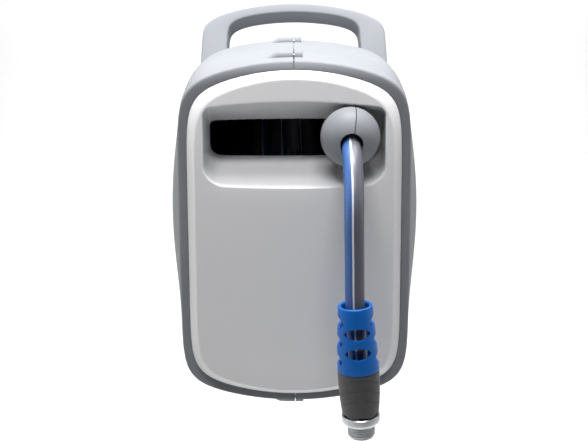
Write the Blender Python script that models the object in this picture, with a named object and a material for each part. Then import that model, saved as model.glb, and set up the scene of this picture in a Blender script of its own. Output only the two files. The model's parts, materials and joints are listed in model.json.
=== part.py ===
"""Wall-hung retractable hose reel, in metres, +Z up.

X runs to the right, Y runs back to the wall and the front faces -Y. The origin is the centre of the wall bracket's
back face. Places inside the case are given as (x, depth behind the front rim, height above the rim's top edge).
"""

import math

import bmesh
import bpy
from mathutils import Matrix, Vector

# Clearances between pieces
GAP = 0.0003
SEAM_GAP = 0.0006
RUNNING_GAP = 0.0008
TURN_GAP = 0.00045

# Place of the case in front of the wall
PIN_STANDOFF = 0.140
PIN_BEHIND_CASE = 0.035
RIM_TOP_Z = 0.170

# Case
CASE_DEPTH = 0.365
CASE_HEIGHT = 0.347
RIM_HALF_WIDTH = 0.1135
BELLY_HALF_WIDTH = 0.1325
BELLY_DEPTH = 0.120
REAR_HALF_WIDTH = 0.104
TOP_RISE = 0.0045
RIDGE_DEPTH = 0.190
REAR_DROP = 0.016
REAR_ROUNDING = 0.036
CASE_SQUARENESS = 7.5
CASE_TAPER = 0.014
TOP_CROWN = 0.040
BOTTOM_CROWN = 0.024
WALL = 0.003
RIM_WIDTH = 0.0085
RIM_THICKNESS = 0.005
RIM_EDGE_RADIUS = 0.002

# Fascia
FACE_PROUD = 0.0095
FACE_BULGE = 0.0035
BEVEL_WIDTH = 0.009
FASCIA_WALL = 0.003
FASCIA_SEAT_DEPTH = 0.001
RECESS_HALF_WIDTH = 0.0870
RECESS_TOP = -0.0384
RECESS_BOTTOM = -0.1189
RECESS_LIP_RADIUS = 0.003
RECESS_CROWN = 0.0055
RECESS_CORNERS = (0.0075, 0.020)
SLOT_CROWN = 0.0015
SLOT_CORNERS = (0.002, 0.012)
SLOT_HALF_WIDTH = 0.0848
SLOT_TOP = -0.0608
SLOT_BOTTOM = -0.0986
SLOT_DEPTH = 0.040

# Seam bosses and their screws
BOSS_RADIUS = 0.0065
BOSS_RISE = 0.0055
BOSS_ROOT = 0.8
BOSS_LEFT_LENGTH = 0.031
BOSS_RAMP = 0.015
BOSS_RIGHT_LENGTH = 0.0085
BOSS_DEPTHS = (0.035, 0.190)
BOTTOM_BOSS_DEPTH = 0.0105
SCREW_RADIUS = 0.0018
SCREW_HEAD_RADIUS = 0.0036
SCREW_HEAD_THICKNESS = 0.0024
SCREW_LENGTH = 0.020
SCREW_SINK = 0.0008

# Handle
HANDLE_LEAN = math.radians(22)
HANDLE_THICKNESS = 0.038
HANDLE_FRONT_DEPTH = 0.257
HANDLE_TOP = 0.0488
HANDLE_HALF_WIDTH = 0.111
HANDLE_TAPER = 0.030
HANDLE_BAR = 0.0126
HANDLE_LEG = 0.0305
HANDLE_CROWN = 0.020
HANDLE_FOOT = -0.078
HANDLE_EDGE = 0.0025
HANDLE_SQUARENESS = 5.5
HANDLE_BOSS_HALF_WIDTH = 0.0145
HANDLE_BOSS_RISE = 0.0035

# Wall bracket and swivel pin
PLATE_WIDTH = 0.084
PLATE_HEIGHT = 0.280
PLATE_THICKNESS = 0.005
PLATE_CORNER = 0.012
WALL_HOLE_RADIUS = 0.0035
WALL_HOLE_INSET = 0.014
ARM_THICKNESS = 0.014
ARM_SPREAD = 0.058
GUSSET_THICKNESS = 0.006
GUSSET_DROP = 0.055
PIN_RADIUS = 0.006
PIN_HEAD_RADIUS = 0.015
PIN_HEAD_HEIGHT = 0.012
PIN_TAIL = 0.006
BUSH_WALL = 0.0025
LUG_WALL = 0.0075
LUG_HEIGHT = 0.024
LUG_SPAN = 0.232
LUG_CENTRE = -0.168

# Hose, drum and spring
HOSE_RADIUS = 0.00905
HOSE_WINDING_RADIUS = 0.1156
DRUM_DEPTH = 0.199
TRAVERSE_TURNS = 5.75
HUB_RADIUS = 0.055
HUB_WALL = 0.004
FLANGE_RADIUS = 0.136
FLANGE_THICKNESS = 0.004
FLANGE_LIP = 0.003
FLANGE_RIB_COUNT = 6
FLANGE_RIB_HEIGHT = 0.003
RIB_THICKNESS = 0.003
FLANGE_COLLAR = 0.003
FLANGE_COLLAR_DEPTH = 0.010
CONNECTOR_RADIUS = 0.007
CONNECTOR_HALF_LENGTH = 0.012
PORT_RADIUS = 0.004
ELBOW_RADIUS = 0.016
AXLE_RADIUS = 0.010
AXLE_BORE = 0.006
AXLE_BUSH_WALL = 0.004
AXLE_BUSH_LENGTH = 0.014
CASSETTE_RADIUS = 0.084
CASSETTE_WIDTH = 0.026
CASSETTE_WALL = 0.0025
SPRING_THICKNESS = 0.0012
SPRING_TURNS = 5
SPRING_STEPS = 12
SPRING_EDGE_GAP = 0.002
ARBOR_RADIUS = 0.020
RATCHET_TEETH = 12
RATCHET_RADIUS = 0.104
RATCHET_TOOTH = 0.009
RATCHET_WIDTH = 0.006
RATCHET_BAND = 0.012
RATCHET_ANGLE = math.radians(77.5)
PAWL_ANGLE = math.radians(60)
PAWL_OUT = 0.014
PAWL_LENGTH = 0.034
PAWL_REST = math.radians(26)
PAWL_WALL = 0.003
PAWL_PIN_RADIUS = 0.003

# Level wind
GEAR_MODULE = 0.003
DRUM_GEAR_TEETH = 24
IDLER_TEETH = 30
SCREW_GEAR_TEETH = 16
GEAR_WIDTH = 0.007
GEAR_BACKLASH = 0.0008
SCREW_DEPTH = 0.055
WIND_SCREW_RADIUS = 0.0075
ROD_RADIUS = 0.005
ROD_HEIGHT = -0.036
CARRIAGE_DEPTH = 0.018
CARRIAGE_WALL = 0.004
CARRIAGE_CLEARANCE = 0.003
CARRIAGE_LOWER_HALF_WIDTH = 0.0115
KEY_RADIUS = 0.003
ROLLER_RADIUS = 0.004
ROLLER_PIN_RADIUS = 0.0015
SCREW_JOURNAL = 0.005
BEARING_WALL = 0.0025
IDLER_PIN_RADIUS = 0.004
END_SEAT = 0.008
SEAT_WALL = 0.003

# Ball stop and hose end
BALL_RADIUS = 0.0286
BALL_X = 0.0535
BALL_DEPTH = -0.009
BALL_HEIGHT = -0.0712
BALL_TURN = math.radians(-8)
HOSE_EXIT_PITCH = math.radians(17)
HOSE_END_LEAN = math.radians(3.4)
HOSE_REACH = 0.075
TAIL_STRAIGHT = 0.031
TAIL_SPACING = 0.020
GUARD_X = 0.0551
GUARD_TOP = -0.214
GUARD_LENGTH = 0.063
GUARD_TOP_RADIUS = 0.0158
GUARD_BOTTOM_RADIUS = 0.0196
GUARD_WALL = 0.0028
GUARD_RING = 0.004
GUARD_COLUMNS = 4
GUARD_WINDOW_WIDTH = 0.0235
GUARD_WINDOW_HEIGHT = 0.0118
GUARD_FRONT_WINDOWS = (0.0238, 0.0424)
GUARD_SIDE_WINDOWS = (0.0146, 0.0331, 0.0515)
GRIP_LENGTH = 0.0445
GRIP_RADIUS = 0.0194
GRIP_END_RADIUS = 0.0170
COLLAR_LENGTH = 0.0095
COLLAR_RADIUS = 0.0180
SPIGOT_RADIUS = 0.0130
SPIGOT_BORE = 0.0085
SPIGOT_LENGTH = 0.0135

# Water inlet
INLET_X = -0.096
INLET_PIPE_RADIUS = 0.0105
INLET_SPIGOT_RADIUS = 0.0132
INLET_SPIGOT_LENGTH = 0.022
INLET_FLANGE = 0.0165
INLET_BORE = 0.007
INLET_NECK_WALL = 0.002
INLET_NECK_LENGTH = 0.012
INLET_PIPE_END = -0.353
INLET_SEAL_WIDTH = 0.003

# Smoothness
OUTLINE_POINTS = 18
ROUND_STEPS = 18
DISC_STEPS = 30
BALL_STEPS = 20
TUBE_STEPS = 12
LENS_POINTS = 10
WINDING_STEPS = 24
WELD_DISTANCE = 0.000002

# Sizes that follow
DRUM_HEIGHT = BALL_HEIGHT - HOSE_WINDING_RADIUS
FRONT_Y = -(PIN_STANDOFF + PIN_BEHIND_CASE + CASE_DEPTH)
CASE_BOTTOM = -CASE_HEIGHT
TURN_PITCH = 2 * HOSE_RADIUS + TURN_GAP
TRAVERSE = TRAVERSE_TURNS * TURN_PITCH
DRUM_INSIDE = TRAVERSE / 2 + HOSE_RADIUS + 0.003
GEAR_START = DRUM_INSIDE + FLANGE_THICKNESS + FLANGE_RIB_HEIGHT + RUNNING_GAP
CASSETTE_START = DRUM_INSIDE + FLANGE_THICKNESS + GAP
CASSETTE_END = CASSETTE_START + CASSETTE_WIDTH + RATCHET_WIDTH + RUNNING_GAP
GEAR_END = GEAR_START + GEAR_WIDTH + RUNNING_GAP
LUG_RADIUS = PIN_RADIUS + BUSH_WALL + 2 * GAP + LUG_WALL
DRUM_GEAR_RADIUS = GEAR_MODULE * DRUM_GEAR_TEETH / 2
IDLER_RADIUS = GEAR_MODULE * IDLER_TEETH / 2
SCREW_GEAR_RADIUS = GEAR_MODULE * SCREW_GEAR_TEETH / 2
SCREW_REACH = DRUM_GEAR_RADIUS + 2 * IDLER_RADIUS + SCREW_GEAR_RADIUS
SCREW_HEIGHT = DRUM_HEIGHT + math.sqrt(SCREW_REACH ** 2 - (DRUM_DEPTH - SCREW_DEPTH) ** 2)
IDLER_SHARE = (DRUM_GEAR_RADIUS + IDLER_RADIUS) / SCREW_REACH
IDLER_DEPTH = DRUM_DEPTH + (SCREW_DEPTH - DRUM_DEPTH) * IDLER_SHARE
IDLER_HEIGHT = DRUM_HEIGHT + (SCREW_HEIGHT - DRUM_HEIGHT) * IDLER_SHARE
INLET_END = -INLET_X + INLET_PIPE_RADIUS + RUNNING_GAP
PAWL_DEPTH = DRUM_DEPTH + (RATCHET_RADIUS + PAWL_OUT) * math.cos(PAWL_ANGLE)
PAWL_HEIGHT = DRUM_HEIGHT + (RATCHET_RADIUS + PAWL_OUT) * math.sin(PAWL_ANGLE)
SIDE = {"left": -1, "right": 1}
RIGHT = Vector((1, 0, 0))
BACK = Vector((0, 1, 0))
UP = Vector((0, 0, 1))


def spot(x, depth, height):
    """A place in the case, from the rim's front plane and top edge."""
    return Vector((x, FRONT_Y + depth, RIM_TOP_Z + height))


DRUM_CENTRE = spot(0, DRUM_DEPTH, DRUM_HEIGHT)
BALL_CENTRE = spot(BALL_X, BALL_DEPTH, BALL_HEIGHT)
SWIVEL_Y = -PIN_STANDOFF


# Materials

def material(name, colour, roughness, metallic=0.0):
    made = bpy.data.materials.new(name)
    made.use_nodes = True
    shader = made.node_tree.nodes["Principled BSDF"]
    shader.inputs["Base Color"].default_value = (*colour, 1)
    shader.inputs["Roughness"].default_value = roughness
    shader.inputs["Metallic"].default_value = metallic
    made.diffuse_color = (*colour, 1)
    return made


def clear_scene():
    for old in list(bpy.data.objects):
        bpy.data.objects.remove(old, do_unlink=True)


def make_materials():
    looks = {
        "slate_plastic": ((0.26, 0.28, 0.31), 0.42, 0),
        "white_plastic": ((0.80, 0.80, 0.80), 0.30, 0),
        "inner_plastic": ((0.03, 0.03, 0.035), 0.55, 0),
        "gear_plastic": ((0.75, 0.74, 0.70), 0.45, 0),
        "steel": ((0.55, 0.56, 0.57), 0.30, 1),
        "spring_steel": ((0.22, 0.24, 0.28), 0.35, 1),
        "brass": ((0.66, 0.48, 0.22), 0.30, 1),
        "plated_metal": ((0.60, 0.61, 0.63), 0.25, 1),
        "hose_skin": ((0.08, 0.16, 0.33), 0.45, 0),
        "blue_rubber": ((0.02, 0.15, 0.40), 0.45, 0),
        "grip_rubber": ((0.07, 0.07, 0.07), 0.65, 0),
        "seal_rubber": ((0.02, 0.02, 0.02), 0.60, 0),
    }
    return {name: material(name, *look) for name, look in looks.items()}


# Mesh building

def finish_mesh(shape, name):
    bmesh.ops.recalc_face_normals(shape, faces=shape.faces)
    if shape.calc_volume(signed=True) < 0:
        bmesh.ops.reverse_faces(shape, faces=shape.faces)
    mesh = bpy.data.meshes.new(name)
    shape.to_mesh(mesh)
    shape.free()
    return mesh


def place(name, mesh, look, origin=None, smooth=40):
    """An object from a mesh in world coordinates, with its origin on the given point."""
    if origin is not None:
        mesh.transform(Matrix.Translation(-Vector(origin)))
    mesh.materials.clear()
    mesh.materials.append(look)
    mesh.shade_smooth()
    mesh.set_sharp_from_angle(angle=math.radians(smooth))
    made = bpy.data.objects.new(name, mesh)
    if origin is not None:
        made.location = origin
    bpy.context.scene.collection.objects.link(made)
    return made


def loft(rings, caps=True, loop=False):
    """Bridges rings of equally many points, closed by caps or by joining the last ring to the first."""
    shape = bmesh.new()
    rows = [[shape.verts.new(point) for point in ring] for ring in rings]
    pairs = list(zip(rows, rows[1:])) + ([(rows[-1], rows[0])] if loop else [])
    for first, second in pairs:
        for k in range(len(first)):
            after = (k + 1) % len(first)
            shape.faces.new((first[k], first[after], second[after], second[k]))
    if caps and not loop:
        shape.faces.new(rows[0][::-1])
        shape.faces.new(rows[-1])
    return shape


def prism(outline, along):
    """A flat outline of points pushed along a vector."""
    return loft([outline, [point + along for point in outline]])


def frame_of(axis):
    """Two directions square to an axis."""
    axis = Vector(axis).normalized()
    side = Vector((0, 0, 1)) if abs(axis.z) < 0.9 else Vector((0, 1, 0))
    first = axis.cross(side).normalized()
    return first, axis.cross(first).normalized(), axis


def turned(profile, start, axis, steps=ROUND_STEPS):
    """A solid turned about an axis from (radius, distance) points, as a closed outline that may touch the axis."""
    first, second, axis = frame_of(axis)
    start = Vector(start)
    shape = bmesh.new()
    columns = []
    for radius, along in profile:
        centre = start + axis * along
        if radius == 0:
            columns.append([shape.verts.new(centre)] * steps)
            continue
        angles = [2 * math.pi * k / steps for k in range(steps)]
        columns.append([
            shape.verts.new(centre + radius * (first * math.cos(a) + second * math.sin(a))) for a in angles
        ])
    ends = list(zip(columns, columns[1:] + columns[:1]))
    for near, far in ends:
        for k in range(steps):
            after = (k + 1) % steps
            corners = []
            for vert in (near[k], near[after], far[after], far[k]):
                if vert not in corners:
                    corners.append(vert)
            if len(corners) > 2:
                shape.faces.new(corners)
    return shape


def rod(start, axis, radius, length, steps=ROUND_STEPS):
    return turned([(0, 0), (radius, 0), (radius, length), (0, length)], start, axis, steps)


def sleeve(start, axis, outer, inner, length, steps=ROUND_STEPS):
    return turned([(inner, 0), (outer, 0), (outer, length), (inner, length)], start, axis, steps)


def block(low, high):
    shape = bmesh.new()
    bmesh.ops.create_cube(shape, size=1)
    size = Vector(high) - Vector(low)
    middle = (Vector(high) + Vector(low)) / 2
    bmesh.ops.transform(shape, matrix=Matrix.Translation(middle) @ Matrix.Diagonal((*size, 1)), verts=shape.verts)
    return shape


def combine(base, others, operation):
    """Adds solids to a mesh, or cuts them away, with one exact Boolean."""
    holder = bpy.data.objects.new("work", base)
    bpy.context.scene.collection.objects.link(holder)
    tools = bpy.data.collections.new("tools")
    bpy.context.scene.collection.children.link(tools)
    for other in others:
        tools.objects.link(bpy.data.objects.new("tool", finish_mesh(other, "tool")))
    modifier = holder.modifiers.new("join", "BOOLEAN")
    modifier.operation = operation
    modifier.solver = "EXACT"
    modifier.operand_type = "COLLECTION"
    modifier.collection = tools
    bpy.context.view_layer.update()
    graph = bpy.context.evaluated_depsgraph_get()
    result = bpy.data.meshes.new_from_object(holder.evaluated_get(graph))
    for helper in list(tools.objects) + [holder]:
        bpy.data.objects.remove(helper, do_unlink=True)
    bpy.data.collections.remove(tools)
    return weld(result)


def weld(mesh):
    """Joins the doubled corners that a Boolean leaves on a shared edge."""
    shape = bmesh.new()
    shape.from_mesh(mesh)
    bmesh.ops.remove_doubles(shape, verts=shape.verts, dist=WELD_DISTANCE)
    bmesh.ops.dissolve_degenerate(shape, edges=shape.edges, dist=WELD_DISTANCE)
    shape.to_mesh(mesh)
    shape.free()
    return mesh


def add(base, *others):
    return combine(base, others, "UNION")


def cut(base, *others):
    return combine(base, others, "DIFFERENCE")


# Case outline

def squarish_point(angle, half_width, top, bottom, power, crowns, taper=0.0):
    """One point of a squarish outline with crowned top and bottom edges, at an angle above the level."""
    reach = (top - bottom) / 2
    across = math.cos(angle)
    upward = math.sin(angle)
    radius = (abs(across / half_width) ** power + abs(upward / reach) ** power) ** (-1 / power)
    x = radius * across
    rise = radius * upward
    crown = crowns[0] if rise > 0 else crowns[1]
    rise -= crown * (x / half_width) ** 2 * rise / reach
    return x * (1 - taper * rise / reach), (top + bottom) / 2 + rise


def outline_point(angle, half_width, top, bottom):
    """One point of the case's outline, seen along the depth."""
    crowns = (TOP_CROWN, BOTTOM_CROWN)
    return squarish_point(angle, half_width, top, bottom, CASE_SQUARENESS, crowns, CASE_TAPER)


def spread_angles(outline, count=OUTLINE_POINTS):
    """Angles from the top middle to the bottom middle, closer together where the outline turns."""
    fine = 720
    angles = [math.pi / 2 - math.pi * k / fine for k in range(fine + 1)]
    points = [Vector(outline(angle)) for angle in angles]
    turn_worth = 0.09
    walked = [0.0]
    for k in range(1, len(points)):
        step = points[k] - points[k - 1]
        turn = step.angle(points[min(k + 1, fine)] - points[k], 0) if k < fine else 0
        walked.append(walked[-1] + step.length + turn_worth * turn)
    marks = [walked[-1] * k / (count - 1) for k in range(count)]
    return [angles[min(range(fine + 1), key=lambda k: abs(walked[k] - mark))] for mark in marks]


CASE_ANGLES = spread_angles(lambda angle: outline_point(angle, RIM_HALF_WIDTH, 0, CASE_BOTTOM))


def case_half_width(depth):
    if depth < BELLY_DEPTH:
        share = math.sin(max(depth, 0) / BELLY_DEPTH * math.pi / 2)
        return RIM_HALF_WIDTH + (BELLY_HALF_WIDTH - RIM_HALF_WIDTH) * share
    share = (depth - BELLY_DEPTH) / (CASE_DEPTH - BELLY_DEPTH)
    return BELLY_HALF_WIDTH - (BELLY_HALF_WIDTH - REAR_HALF_WIDTH) * share ** 2


def case_top(depth):
    if depth < RIDGE_DEPTH:
        return TOP_RISE * math.sin(max(depth, 0) / RIDGE_DEPTH * math.pi / 2)
    share = (depth - RIDGE_DEPTH) / (CASE_DEPTH - RIDGE_DEPTH)
    return TOP_RISE - (TOP_RISE + REAR_DROP) * share ** 2


def half_outline(depth, inset, size_depth=None):
    """The case's outline on the +X side at a depth, drawn in by an inset, from the top seam to the bottom seam."""
    size_depth = depth if size_depth is None else size_depth
    half_width = case_half_width(size_depth) - inset
    top = case_top(size_depth) - inset
    bottom = CASE_BOTTOM - (case_top(size_depth) - TOP_RISE) * 0.5 * (size_depth > RIDGE_DEPTH) + inset
    points = [outline_point(angle, half_width, top, bottom) for angle in CASE_ANGLES]
    return [spot(x, depth, height) for x, height in points]


# Shells

def shell_rows():
    """Rows of points from the outside of the rear, round the rim and back along the inside."""
    start = RIM_EDGE_RADIUS
    straight_end = CASE_DEPTH - REAR_ROUNDING
    spans = 7
    depths = [start + (straight_end - start) * (k / spans) ** 1.25 for k in range(spans + 1)]
    bends = [math.radians(a) for a in (30, 60, 90)]
    outer = [half_outline(d, 0) for d in depths]
    inner = [half_outline(d, WALL) for d in depths[1::2]]
    inner_radius = REAR_ROUNDING - WALL
    for k, bend in enumerate(bends):
        depth = straight_end + REAR_ROUNDING * math.sin(bend)
        outer.append(half_outline(depth, REAR_ROUNDING * (1 - math.cos(bend))))
        if k > 0:
            inside = straight_end + inner_radius * math.sin(bend)
            inner.append(half_outline(inside, REAR_ROUNDING - inner_radius * math.cos(bend), depth))
    rim = [
        half_outline(0, RIM_EDGE_RADIUS),
        half_outline(0, RIM_WIDTH),
        half_outline(RIM_THICKNESS, RIM_WIDTH),
        half_outline(RIM_THICKNESS, WALL),
    ]
    return outer[::-1] + rim + inner


def half_shell():
    """A closed half of the case, reaching a little past the seam, where it is trimmed later."""
    overrun = 0.002
    shape = bmesh.new()
    grid = []
    for row in shell_rows():
        row[0].x = -overrun
        row[-1].x = -overrun
        grid.append([shape.verts.new(point) for point in row])
    for near, far in zip(grid, grid[1:]):
        for k in range(len(near) - 1):
            shape.faces.new((near[k], near[k + 1], far[k + 1], far[k]))
    shape.faces.new(grid[0][::-1])
    shape.faces.new(grid[-1])
    shape.faces.new([row[0] for row in grid] + [row[-1] for row in reversed(grid)])
    return shape


def boss_places():
    """Depth, surface height and outward direction of each screw boss on the seam."""
    places = [(depth, case_top(depth), 1) for depth in BOSS_DEPTHS]
    places += [(BOTTOM_BOSS_DEPTH, CASE_BOTTOM, -1), (BOSS_DEPTHS[1], CASE_BOTTOM, -1)]
    return places


def boss_ring(x, depth, height, outward, rise):
    """The arched outline of a boss, rooted in the wall below it."""
    crown = TOP_CROWN if outward > 0 else BOTTOM_CROWN
    surface = height - outward * crown * (x / case_half_width(depth)) ** 2
    root = surface - outward * WALL * BOSS_ROOT
    angles = [math.pi * k / 8 for k in range(9)]
    climb = BOSS_RISE * rise + WALL * BOSS_ROOT
    return [
        spot(x, depth + BOSS_RADIUS * math.cos(a), root + outward * climb * math.sin(a)) for a in angles
    ]


def seam_boss(side, depth, height, outward):
    overrun = -0.002
    if side > 0:
        stations = [(overrun, 1), (BOSS_RIGHT_LENGTH, 1)]
    else:
        flush = -0.1
        stations = [(overrun, 1), (BOSS_LEFT_LENGTH - BOSS_RAMP, 1), (BOSS_LEFT_LENGTH, flush)]
    return loft([boss_ring(x, depth, height, outward, rise) for x, rise in stations])


def screw_axis(height, outward):
    cover = 0.001
    return height + outward * (BOSS_RISE - SCREW_HEAD_RADIUS - cover)


def seat_list(side):
    """Each shaft end held by a shell: depth, height, bore radius and where its boss starts."""
    drum_end = INLET_END if side < 0 else CASSETTE_END
    seats = [
        (DRUM_DEPTH, DRUM_HEIGHT, AXLE_RADIUS, drum_end),
        (SCREW_DEPTH, SCREW_HEIGHT, SCREW_JOURNAL + BEARING_WALL, GEAR_END),
        (SCREW_DEPTH, ROD_HEIGHT, ROD_RADIUS, GEAR_END),
    ]
    if side < 0:
        seats.append((IDLER_DEPTH, IDLER_HEIGHT, IDLER_PIN_RADIUS, GEAR_END))
    else:
        seats.append((PAWL_DEPTH, PAWL_HEIGHT, PAWL_PIN_RADIUS, CASSETTE_END))
    return seats


def seat_bosses(side):
    """Blind seats for the shaft ends, from their inner face out to the middle of the wall."""
    far = BELLY_HALF_WIDTH + WALL
    rods = []
    for depth, height, radius, start in seat_list(side):
        outer = radius + GAP + SEAT_WALL
        rods.append(rod(spot(start, depth, height), RIGHT, outer, far - start, TUBE_STEPS))
    mesh = add(finish_mesh(rods[0], "seats"), *rods[1:])
    shape = bmesh.new()
    shape.from_mesh(combine(mesh, [case_envelope(-WALL / 2)], "INTERSECT"))
    return shape


def seat_bore(depth, height, radius, start):
    overrun = 0.001
    length = END_SEAT + GAP + overrun
    steps = ROUND_STEPS if radius > ROD_RADIUS else TUBE_STEPS
    return rod(spot(start - overrun, depth, height), RIGHT, radius + GAP, length, steps)


def lug_heights():
    reach = (LUG_SPAN - LUG_HEIGHT) / 2
    return [LUG_CENTRE + reach, LUG_CENTRE - reach]


def lug_block(height):
    width = LUG_RADIUS
    pin_depth = CASE_DEPTH + PIN_BEHIND_CASE
    arc = [math.pi / 2 * k / 5 for k in range(6)]
    plan = [(-0.002, CASE_DEPTH - WALL / 2), (width, CASE_DEPTH - WALL / 2)]
    plan += [(width * math.cos(a), pin_depth + width * math.sin(a)) for a in arc[:-1]]
    plan += [(-0.002, pin_depth + width)]
    low = height - LUG_HEIGHT / 2
    return prism([spot(x, depth, low) for x, depth in plan], UP * LUG_HEIGHT)


def seam_trim():
    past = 0.05
    low = spot(-past, -past, CASE_BOTTOM - past)
    high = spot(SEAM_GAP / 2, CASE_DEPTH + 2 * past, past)
    return block(low, high)


def build_shell(name, look):
    side = SIDE[name]
    mesh = finish_mesh(half_shell(), name)
    bosses = [seam_boss(side, depth, height, outward) for depth, height, outward in boss_places()]
    lugs = [lug_block(height) for height in lug_heights()]
    mesh = add(mesh, *bosses, seat_bosses(side), *lugs)
    bores = [seat_bore(*seat) for seat in seat_list(side)]
    for height in lug_heights():
        base = spot(0, CASE_DEPTH + PIN_BEHIND_CASE, height - LUG_HEIGHT)
        bores.append(rod(base, UP, PIN_RADIUS + GAP + BUSH_WALL + GAP, 2 * LUG_HEIGHT))
    for depth, height, outward in boss_places():
        axis_height = screw_axis(height, outward)
        reach = SCREW_LENGTH if side < 0 else BOSS_RIGHT_LENGTH + WALL
        bores.append(rod(spot(-0.004, depth, axis_height), RIGHT, SCREW_RADIUS + GAP, 0.004 + reach, 12))
        if side > 0:
            start = BOSS_RIGHT_LENGTH - SCREW_HEAD_THICKNESS - SCREW_SINK
            head_radius = SCREW_HEAD_RADIUS + GAP
            bores.append(rod(spot(start, depth, axis_height), RIGHT, head_radius, 0.03, 12))
    if side < 0:
        hole = INLET_PIPE_RADIUS + GAP
        bores.append(rod(spot(-INLET_X, DRUM_DEPTH, CASE_BOTTOM - WALL), UP, hole, BOTTOM_CROWN * 2))
    bores.append(seam_trim())
    mesh = cut(mesh, *bores)
    if side < 0:
        mesh.transform(Matrix.Diagonal((-1, 1, 1, 1)))
        mesh.flip_normals()
    return place("shell_" + name, mesh, look, origin=(0, SWIVEL_Y, 0))


def build_case_screws(look):
    names = ("top_front", "top_rear", "bottom_front", "bottom_rear")
    for name, (depth, height, outward) in zip(names, boss_places()):
        head = SCREW_HEAD_THICKNESS
        start = BOSS_RIGHT_LENGTH - SCREW_SINK
        profile = [(0, 0), (SCREW_HEAD_RADIUS, 0), (SCREW_HEAD_RADIUS, head), (SCREW_RADIUS, head)]
        profile += [(SCREW_RADIUS, SCREW_LENGTH), (0, SCREW_LENGTH)]
        axis_height = screw_axis(height, outward)
        shape = turned(profile, spot(start, depth, axis_height), -RIGHT, 12)
        place("case_screw_" + name, finish_mesh(shape, name), look, origin=(0, SWIVEL_Y, 0))


# Fascia

def whole_ring(half):
    """A closed ring from the points of its +X half, whose ends lie on the middle plane."""
    mirrored = [Vector((-p.x, p.y, p.z)) for p in reversed(half[1:-1])]
    return half + mirrored


def face_depth(x, height):
    """Depth of the fascia's gently crowned face."""
    across = x / RIM_HALF_WIDTH
    upward = (height - CASE_BOTTOM / 2) / (CASE_HEIGHT / 2)
    return -FACE_PROUD + FACE_BULGE * (across ** 2 + upward ** 2) / 2


def rim_ring(inset, depth):
    return whole_ring(half_outline(depth, inset, 0))


def on_face(ring, behind=0.0):
    """A ring laid on the face, or a given distance behind it."""
    return [
        Vector((p.x, FRONT_Y + face_depth(p.x, p.z - RIM_TOP_Z) + behind, p.z)) for p in ring
    ]


def rounded_point(angle, half_width, top, bottom, corners, crowns):
    """One point of a rounded rectangle with crowned top and bottom edges, at an angle above the level."""
    half = 0 if angle > 0 else 1
    reach = (top - bottom) / 2
    across = math.cos(angle)
    upward = abs(math.sin(angle))
    side = half_width - corners[half]
    edge = reach - corners[half]
    distance = 1 / max(across / half_width, upward / reach)
    if across * distance > side and upward * distance > edge:
        middle = across * side + upward * edge
        distance = middle + math.sqrt(middle ** 2 - side ** 2 - edge ** 2 + corners[half] ** 2)
    x = across * distance
    rise = math.sin(angle) * distance
    rise -= crowns[half] * (x / half_width) ** 2 * rise / reach
    return x, (top + bottom) / 2 + rise


def hole_ring(half_width, top, bottom, corners, crown, grow=0.0, depth=0.0):
    """A rounded hole's outline across the face, let out by a margin."""
    crowns = (crown, crown / 2)
    corners = (corners[0] + grow, corners[1] + grow)

    def outline(angle):
        return rounded_point(angle, half_width + grow, top + grow, bottom - grow, corners, crowns)

    points = [outline(angle) for angle in spread_angles(outline)]
    return whole_ring([spot(x, depth, height) for x, height in points])


def recess_ring(grow=0.0):
    return hole_ring(RECESS_HALF_WIDTH, RECESS_TOP, RECESS_BOTTOM, RECESS_CORNERS, RECESS_CROWN, grow)


def slot_ring(grow, depth):
    return hole_ring(SLOT_HALF_WIDTH, SLOT_TOP, SLOT_BOTTOM, SLOT_CORNERS, SLOT_CROWN, grow, depth)


def between(first, second, share):
    return [a.lerp(b, share) for a, b in zip(first, second)]


def build_fascia(look):
    lip = RECESS_LIP_RADIUS
    wall = FASCIA_WALL
    edge_inset = RIM_WIDTH + GAP
    flange_inset = WALL + 2 * GAP
    flange_front = RIM_THICKNESS + GAP
    flange_back = flange_front + wall
    bevel = rim_ring(RIM_WIDTH + BEVEL_WIDTH, 0)
    mouth = recess_ring(lip)
    slot_back = SLOT_DEPTH + wall
    face_spans = [between(bevel, mouth, share) for share in (0.3, 0.65)]
    front = [
        rim_ring(edge_inset, flange_front),
        rim_ring(edge_inset, 0),
        on_face(bevel),
        *[on_face(ring) for ring in face_spans],
        on_face(mouth),
        on_face(recess_ring(0.3 * lip), 0.3 * lip),
        on_face(recess_ring(), lip),
        slot_ring(0, SLOT_DEPTH),
        slot_ring(0, slot_back),
    ]
    back = [
        slot_ring(wall, slot_back),
        on_face(recess_ring(wall), lip + wall),
        on_face(between(bevel, mouth, 0.5), wall),
        on_face(bevel, wall),
        rim_ring(edge_inset + wall, FASCIA_SEAT_DEPTH + wall),
        rim_ring(edge_inset + wall, flange_back),
        rim_ring(flange_inset, flange_back),
        rim_ring(flange_inset, flange_front),
    ]
    place("fascia", finish_mesh(loft(front + back, loop=True), "fascia"), look, origin=(0, SWIVEL_Y, 0))


# Handle

def handle_point(across, upward, through):
    """A place on the handle, whose plane leans back."""
    lean_up = Vector((0, math.sin(HANDLE_LEAN), math.cos(HANDLE_LEAN)))
    lean_back = Vector((0, math.cos(HANDLE_LEAN), -math.sin(HANDLE_LEAN)))
    return spot(across, HANDLE_FRONT_DEPTH, 0) + lean_up * upward + lean_back * through


def handle_ring(inset, through, opening=False):
    half_width = HANDLE_HALF_WIDTH - inset - (HANDLE_LEG if opening else 0)
    top = HANDLE_TOP - inset - (HANDLE_BAR if opening else 0)
    bottom = HANDLE_FOOT + inset + (HANDLE_BAR if opening else 0)
    crowns = (HANDLE_CROWN * (half_width / HANDLE_HALF_WIDTH) ** 2, 0)

    def outline(angle):
        return squarish_point(angle, half_width, top, bottom, HANDLE_SQUARENESS, crowns, HANDLE_TAPER)

    points = [outline(angle) for angle in spread_angles(outline)]
    return whole_ring([handle_point(x, upward, through) for x, upward in points])


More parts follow.
